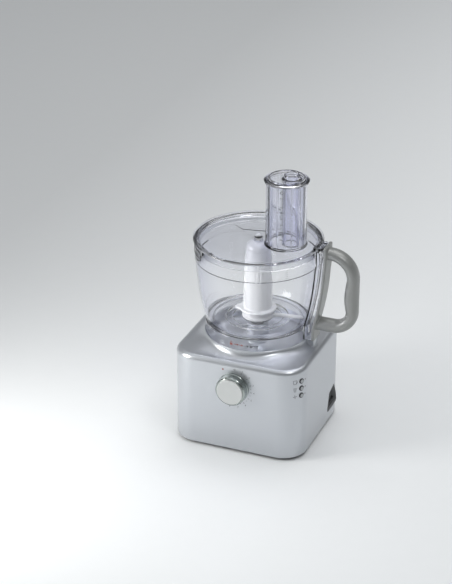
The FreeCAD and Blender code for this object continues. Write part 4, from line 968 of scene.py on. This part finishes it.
lidShape = {"plateLow": 311.5, "plateTop": 314, "ringLow": 315.2, "rim": 318, "ring": 98, "inner": 89.5,
            "skirtOut": 92.3, "skirtIn": 90, "skirtLow": 303.2, "hole": 6, "tabReach": 105.6, "tabHalf": 15}
tubeShape = {"bore": 28, "radius": 30.5, "foot": 314, "top": 415}
pusherShape = {"out": 27.6, "inner": 25.4, "low": 312.5, "flangeLow": 415.4, "flange": 34, "top": 421.4,
               "guide": 13.97, "guideBore": 11.97, "guideTop": 417.4,
               "levels": (383.5, 375, 365.5, 356, 344, 332)}
smallShape = {"out": 11.57, "inner": 9.57, "low": 312.5, "rest": 417.8, "flange": 15.07, "top": 425.8}
feedAt = Vector(((low("feed_tube").x + high("feed_tube").x) / 2, 0))
smallAt = Vector(((low("small_pusher").x + high("small_pusher").x) / 2, 0))


def makeLid(shape):
    s = SimpleNamespace(**shape)
    lid = lathe("lidShell", [
        (s.hole, s.plateLow, 0.2), (14, s.plateLow), (60, s.plateLow),
        (s.skirtIn, s.plateLow, 1.0),
        (s.skirtIn, s.skirtLow, 0.5), (s.skirtOut, s.skirtLow, 0.7),
        (s.skirtOut, s.ringLow, 0.3), (s.ring - 0.4, s.ringLow, 0.4),
        (s.ring, s.ringLow + 1.2, 0.8), (s.ring - 0.6, s.rim, 1.0),
        (s.inner + 0.3, s.rim, 1.2), (s.inner - 0.5, s.plateTop + 0.2, 0.8),
        (s.inner - 2.6, s.plateTop - 0.1, 0.4), (60, s.plateTop),
        (s.hole, s.plateTop, 0.2)], 160)
    # cam tab over the rod, thick sector of the ring and its notches
    out = s.tabReach
    tab = slab("tab", softened([(s.inner + 1.2, -s.tabHalf, 2), (out, -s.tabHalf, 2.5),
                                (out, s.tabHalf, 2.5), (s.inner + 1.2, s.tabHalf, 2)],
                               True, 4), s.rim - 1.0, s.rim + 3.2, 0.7, 3)
    step = slab("tabStep", [(98.3, -20), (110, -20), (110, 20), (98.3, 20)], s.rim - 3,
                s.rim + 0.35)
    carve(tab, step)
    union(lid, tab)
    union(lid, arcBlock("thickRing", 186, 243, s.inner + 1.6, s.ring - 0.5, s.rim - 1,
                        s.rim + 1.5, 0.5))
    union(lid, arcBlock("catch", 243.5, 246, s.inner + 3, s.ring - 0.5, s.rim - 1,
                        s.rim + 0.7, 0.3))
    union(lid, arcBlock("catch", 296, 301, s.inner + 1.6, s.ring - 0.5, s.rim - 1,
                        s.rim + 0.9, 0.3))
    # low raised panel behind the tube
    panel = ringOutline([(-58, 38), (-30, 62), (8, 68), (24, 46), (10, 30), (-34, 22)], 9)
    union(lid, slab("panel", panel, s.plateTop - 0.6, s.plateTop + 0.4, 0.3, 2))
    face = ringOutline([(-55.6, 38.4), (-29.6, 59.6), (7, 65.4), (21, 46), (8.8, 32.6), (-33.4, 24.6)], 8)
    carve(lid, slab("panelFace", face, s.plateTop + 0.1, s.plateTop + 4))
    carve(lid, loft("mouth", [circleRing(tubeShape["bore"], z, 96, feedAt) for z in (300, 320)]))
    return lid


def ringOutline(points, rounding):
    return softened([(x, y, rounding) for x, y in points], True, 6)


def makeTube(shape):
    s = SimpleNamespace(**shape)
    return lathe("feedTube", [
        (s.bore, s.foot), (s.radius + 1.9, s.foot, 0.3),
        (s.radius + 1.5, s.foot + 1.6, 0.5), (s.radius, s.foot + 4, 1.2),
        (s.radius, s.top - 3.4, 0.8), (s.radius + 1.9, s.top - 2.4, 0.6),
        (s.radius + 1.9, s.top, 0.7), (s.bore + 1.2, s.top, 0.6),
        (s.bore, s.top - 1.6, 0.8)], 128, feedAt)


def makePusher(shape):
    s = SimpleNamespace(**shape)
    body = lathe("pusherBody", [
        (0, s.low), (s.out - 2, s.low, 0.3), (s.out, s.low + 2, 1.0),
        (s.out, s.flangeLow), (s.flange - 0.5, s.flangeLow, 0.4),
        (s.flange, s.flangeLow + 1.3, 0.8), (s.flange - 1, s.flangeLow + 2.6, 0.9),
        (s.inner + 2.4, s.flangeLow + 3.4, 1.2), (s.inner + 1.4, s.top, 0.6),
        (s.inner, s.top, 0.6), (s.inner, s.low + 2.4, 2), (0, s.low + 2.4)],
        128, feedAt, closed=False)
    union(body, lathe("guide", [(0, s.low + 1), (s.guide, s.low + 1),
                                (s.guide, s.guideTop, 0.6), (0, s.guideTop)],
                      96, smallAt, closed=False))
    carve(body, lathe("guideBore", [(0, s.low - 3), (s.guideBore, s.low - 3),
                                    (s.guideBore, s.guideTop + 3), (0, s.guideTop + 3)],
                      96, smallAt, closed=False))
    # stiffening ribs inside the wall
    for turn in (-128, -100, -52, -24, 128, 100, 60):
        way = Vector((math.cos(math.radians(turn)), math.sin(math.radians(turn))))
        across = Vector((-way.y, way.x)) * 0.9
        start = feedAt + way * (s.inner - 1.6)
        stop = feedAt + way * (s.inner + 0.8)
        union(body, slab("wallRib", [start - across, stop - across, stop + across, start + across],
                         s.low + 1.5, s.top - 3))
    return body


def makeSmallPusher(shape):
    s = SimpleNamespace(**shape)
    return lathe("smallPusherBody", [
        (0, s.low), (s.out - 1.4, s.low, 0.3), (s.out, s.low + 1.4, 0.8),
        (s.out, s.rest), (s.flange, s.rest, 0.4),
        (s.flange, s.rest + 2.2, 0.9), (s.out + 0.5, s.rest + 3.2, 0.6),
        (s.out, s.top, 0.7), (s.inner, s.top, 0.5),
        (s.inner, s.low + 2.4, 1.2), (0, s.low + 2.4)], 80, smallAt, closed=False)


def makeKnob():
    bottom = low("lid_bearing").z
    top = high("lid_bearing").z
    plate = lidShape["plateLow"]
    ball = 6.0
    centre = top - ball
    turns = [math.radians(-52 + 142 * k / 16) for k in range(16)]
    dome = [(ball * math.cos(turn), centre + ball * math.sin(turn)) for turn in turns]
    return lathe("lidKnob", [
        (4.75, bottom, 0.2), (7.4, bottom, 0.4), (7.4, plate - 0.4, 0.3), (5.9, plate - 0.3, 0.1),
        (5.9, plate + 2.7, 0.3)] + dome + [(0.001, top), (0.001, plate + 0.2), (4.0, plate + 0.2, 0.5),
                                           (4.75, plate - 0.5, 0.3)], 64)


def makePusherMarks(shape):
    radius = shape["out"] + 0.1
    turn = -84.5
    marks = [placed(ringMark("topRing", 2.6, 1.5, 0.04, 32), around(turn, 406.5, radius, feedAt)),
             placed(strokeMark("topMark", [(-2.2, -1.2), (-1.1, 1.2), (0, -0.6), (1.1, 1.2), (2.2, -1.2)],
                               0.55), around(turn, 398, radius, feedAt))]
    for z in shape["levels"]:
        tick = flatMark("tick", rounded(4.2, 1.1, 0.3, 1), 0.04)
        marks.append(placed(tick, around(turn, z, radius, feedAt)))
    return joined("pusherMarks", marks)


settle(makeLid(lidShape), "lid", "clear_lid", "lid", angle=26)
settle(makeTube(tubeShape), "lid", "clear_lid", "feed_tube")
settle(makePusher(pusherShape), "pusher", "clear_pusher", "pusher")
settle(makeSmallPusher(smallShape), "small_pusher", "clear_pusher", "small_pusher")
settle(makeKnob(), "bearing", "clear_lid", "lid_bearing", angle=60)
settle(makePusherMarks(pusherShape), "pusher", "bezel_dark", look="printGrey")
print("lid and pushers made")


# printed marks on the bowl

def lockMark(name):
    body = flatMark(name + "Body", rounded(3.4, 2.6, 0.4, 1))
    shackle = strokeMark(name + "Shackle", [(-1.1, 1.2), (-1.1, 2.6), (-0.5, 3.3), (0.5, 3.3), (1.1, 2.6),
                                            (1.1, 1.2)], 0.5)
    return joined(name, [body, shackle])


def arrowMark(name, length=6.0):
    head = flatMark(name + "Head", [(length / 2, 0), (length / 2 - 2.2, 1.5), (length / 2 - 2.2, -1.5)])
    shaft = flatMark(name + "Shaft", [(-length / 2, -0.4), (length / 2 - 2, -0.4), (length / 2 - 2, 0.4),
                                      (-length / 2, 0.4)])
    return joined(name, [head, shaft])


def makeBowlMarks(shape):
    radius = shape["skirt"] + 0.07
    grown = Matrix.Scale(1.35, 4)
    red = [placed(lockMark("lockA"), around(-99, 173, radius) @ grown),
           placed(arrowMark("arrowA"), around(-92.8, 173.8, radius) @ grown),
           placed(arrowMark("arrowB", 5), around(-87.2, 173.8, radius) @ grown)]
    dark = [placed(arrowMark("arrowC"), around(-81.5, 173.2, radius) @ grown),
            placed(lockMark("lockB"), around(-76, 172.6, radius) @ grown),
            placed(strokeMark("barA", [(-2.6, 0.8), (2.6, 0.8)], 0.8), around(-71.2, 173, radius) @ grown),
            placed(strokeMark("barB", [(-2.2, -0.9), (2.2, -0.9)], 0.8), around(-71.2, 173, radius) @ grown)]
    settle(joined("skirtMarksRed", red), "bowl", "lens", look="printRed")
    settle(joined("skirtMarksDark", dark), "bowl", "bezel_dark", look="printGrey")
    zone = shape["zone"] + 0.06
    light = [placed(arrowMark("arrowD", 8), around(-38, 306, zone)),
             placed(strokeMark("barC", [(-1.6, 0), (1.6, 0)], 0.6), around(-31.5, 306, zone)),
             placed(ringMark("ringC", 1.6, 1.1), around(-28, 306, zone))]
    for i in range(5):
        light.append(placed(strokeMark(f"level{i}", [(-2.6 + (i % 2) * 0.9, 0), (1.6, 0)], 0.5),
                            around(-43, 303 - 3.2 * i, zone)))
    settle(joined("zoneMarks", light), "bowl", "button_grey")


makeBowlMarks(bowlShape)
print("bowl marks made")


# tool

toolShape = {"bore": 16.2, "low": 187.5, "ring": 24, "columnLow": 22.3, "columnMiddle": 21.2,
             "columnHigh": 18.7, "shoulder": 296,
             "disc": 28.5, "discLow": 199.5, "discHigh": 203.1, "wingTurn": 202, "armTurn": 10}


def makeHub(shape):
    s = SimpleNamespace(**shape)
    low = s.low
    hub = lathe("toolHub", [
        (s.bore, low, 0.3), (s.ring, low, 0.8), (s.ring, low + 2.4, 0.9),
        (s.columnLow + 0.3, low + 3.4, 1.2), (s.columnLow, s.discLow - 1),
        (s.columnLow - 0.1, s.discHigh + 8),
        (s.columnMiddle, s.shoulder - 20, 30), (s.columnHigh, s.shoulder, 0.6),
        (s.columnHigh - 3, s.shoulder), (s.bore - 2, s.shoulder - 12),
        (s.bore - 2.2, 264), (s.bore - 5, 262), (s.bore - 5, 260), (s.bore, 242)],
        96)
    plate = lathe("disc", [(17.5, s.discLow), (s.disc - 0.8, s.discLow, 0.8),
                          (s.disc, s.discLow + 1.8, 0.8), (s.disc - 1, s.discHigh, 0.8),
                          (s.columnLow + 1, s.discHigh + 0.3, 1.0),
                          (s.columnLow - 0.8, s.discHigh + 2.2, 0.5), (17.5, s.discHigh + 2.2)], 96)
    union(hub, plate)
    wing = slab("wing", ringOutline([(18, -12), (30, -8), (34.5, -2), (34.5, 3), (28, 8), (18, 12)], 3),
                s.discLow + 0.1, s.discHigh - 0.1, 1.2, 3)
    union(hub, placed(wing, Matrix.Rotation(math.radians(s.wingTurn), 4, "Z")))
    blade = ringOutline([(18.5, -3.5), (40, -3.2), (70, -1.9), (70, 1.9), (40, 3.0), (18.5, 3.5)], 1.6)
    arm = slab("arm", blade, low + 0.5, low + 5.4, 1.1, 3)
    union(hub, placed(arm, Matrix.Rotation(math.radians(s.armTurn), 4, "Z")))
    return hub


def makeCap(shape):
    top = high("tool_cap").z
    shoulder = shape["shoulder"]
    wide = shape["columnHigh"] + 0.3
    return lathe("toolCap", [
        (0, shoulder + 0.02), (wide - 0.3, shoulder + 0.02, 0.2), (wide, shoulder + 0.8, 0.4),
        (wide - 0.2, shoulder + 4, 4), (wide - 1.2, shoulder + 7.4, 6), (14.6, shoulder + 10.8, 6),
        (10.4, shoulder + 12.6, 6), (6.2, shoulder + 13.2, 0.8), (4.55, shoulder + 13.3, 0.1),
        (4.55, top - 0.3, 0.2), (4.2, top, 0.1), (0, top)], 96, closed=False)


settle(makeHub(toolShape), "tool", "tool_white", "tool_hub")
settle(makeCap(toolShape), "tool", "tool_white", "tool_cap")
print("tool made")


# floor, light and camera

# The floor colour is darkened by painted shade on the key lamp's side, down to the factor given here, to
# cancel the lamp's pool of light.
stageLook = {"floor": (0.93, 0.945, 0.95), "paintedShadeNearLamp": 0.74, "floorSize": 40, "world": 0.78, "cool": 1.1}

# name, place, target, size, power, tone
lamps = [
    ("keyPanel", (-0.52, -0.44, 0.36), (0, -0.05, 0.10), (0.26, 0.40), 2.9, (1.0, 0.995, 0.98)),
    ("sidePanel", (0.72, -0.52, 1.45), (0, 0, 0.15), (0.42, 0.42), 3.4, (0.98, 0.99, 1.0)),
    ("topPanel", (0.3, 1.3, 2.8), (0, 0.6, 0.0), (2.4, 2.0), 27, (1.0, 1.0, 1.0)),
]
cameraLook = {"spot": (0.919, -2.404, 1.500), "turn": (63.65, 0, 22), "lens": 117.1,
              "bounces": 28, "through": 24, "clear": 32}


def makeStage(look):
    deselect()
    bpy.ops.mesh.primitive_plane_add(size=look["floorSize"])
    floor = bpy.context.object
    floor.name = "floorSheet"
    made, tree, out, coord = startMaterial("floorPaper")
    cloud = node(tree, "ShaderNodeTexNoise", {"Vector": coord, "Scale": 40.0, "Detail": 4.0})
    tone = [c * 0.985 for c in look["floor"]]
    color = mixed(tree, cloud.outputs[0], (*look["floor"], 1), (*tone, 1))
    across = node(tree, "ShaderNodeSeparateXYZ", {0: coord}).outputs["X"]
    # Painted shade: the floor colour is darkened from x = 0.1 m towards x = -0.7 m, on the key lamp's side,
    # to hold back the lamp's pool of light on the floor.
    paintedShade = node(tree, "ShaderNodeMapRange", {0: across, 1: -0.7, 2: 0.1, 3: look["paintedShadeNearLamp"], 4: 1.0})
    color = node(tree, "ShaderNodeVectorMath", {0: color, 3: paintedShade.outputs[0]}, operation="SCALE").outputs[0]
    bump = node(tree, "ShaderNodeBump", {"Strength": 0.05, "Distance": 0.0004, "Height": cloud.outputs[0]})
    rough = scalar(tree, "ADD", scalar(tree, "MULTIPLY", cloud.outputs[0], 0.1), 0.75)
    shader = node(tree, "ShaderNodeBsdfPrincipled", {"Base Color": color, "Roughness": rough,
                                                     "Normal": bump.outputs[0]})
    tree.links.new(shader.outputs[0], out.inputs[0])
    floor.data.materials.append(made)


def makeLight(name, spot, target, size, power, tone):
    deselect()
    way = Vector(target) - Vector(spot)
    bpy.ops.object.light_add(type="AREA", location=spot, rotation=way.to_track_quat("-Z", "Y").to_euler())
    lamp = bpy.context.object
    lamp.name = name
    lamp.data.shape = "RECTANGLE"
    lamp.data.size = size[0]
    lamp.data.size_y = size[1]
    lamp.data.energy = power
    lamp.data.color = tone


def makeWorld(look):
    world = bpy.data.worlds.new("studio")
    bpy.context.scene.world = world
    world.use_nodes = True
    tree = world.node_tree
    tree.nodes.clear()
    out = tree.nodes.new("ShaderNodeOutputWorld")
    coord = tree.nodes.new("ShaderNodeTexCoord").outputs["Generated"]
    parts = node(tree, "ShaderNodeSeparateXYZ", {0: coord})
    height = node(tree, "ShaderNodeValToRGB", {0: parts.outputs["Z"]})
    bands = height.color_ramp
    bands.elements[0].color = (0.62, 0.62, 0.62, 1)
    bands.elements[1].color = (1.0, 1.0, 1.0, 1)
    for spot, tone in ((0.15, 0.52), (0.28, 0.20), (0.60, 0.20), (0.80, 0.75)):
        band = bands.elements.new(spot)
        band.color = (tone, tone, tone * look["cool"], 1)
    side = node(tree, "ShaderNodeMapRange", {0: parts.outputs["X"], 1: -0.9, 2: 0.9, 3: 1.15, 4: 0.85})
    strength = scalar(tree, "MULTIPLY", scalar(tree, "MULTIPLY", height.outputs[0], side.outputs[0]),
                      look["world"])
    back = node(tree, "ShaderNodeBackground", {"Color": (0.95, 0.975, 1.0, 1), "Strength": strength})
    tree.links.new(back.outputs[0], out.inputs[0])


makeStage(stageLook)
makeWorld(stageLook)
for lamp in lamps:
    makeLight(*lamp)

deselect()
bpy.ops.object.camera_add(location=cameraLook["spot"], rotation=[math.radians(a) for a in cameraLook["turn"]])
camera = bpy.context.object
camera.data.lens = cameraLook["lens"]
camera.data.sensor_width = 36
scene = bpy.context.scene
scene.camera = camera
scene.view_settings.view_transform = "Standard"
scene.cycles.max_bounces = cameraLook["bounces"]
scene.cycles.transmission_bounces = cameraLook["through"]
scene.cycles.transparent_max_bounces = cameraLook["clear"]
print("stage made")
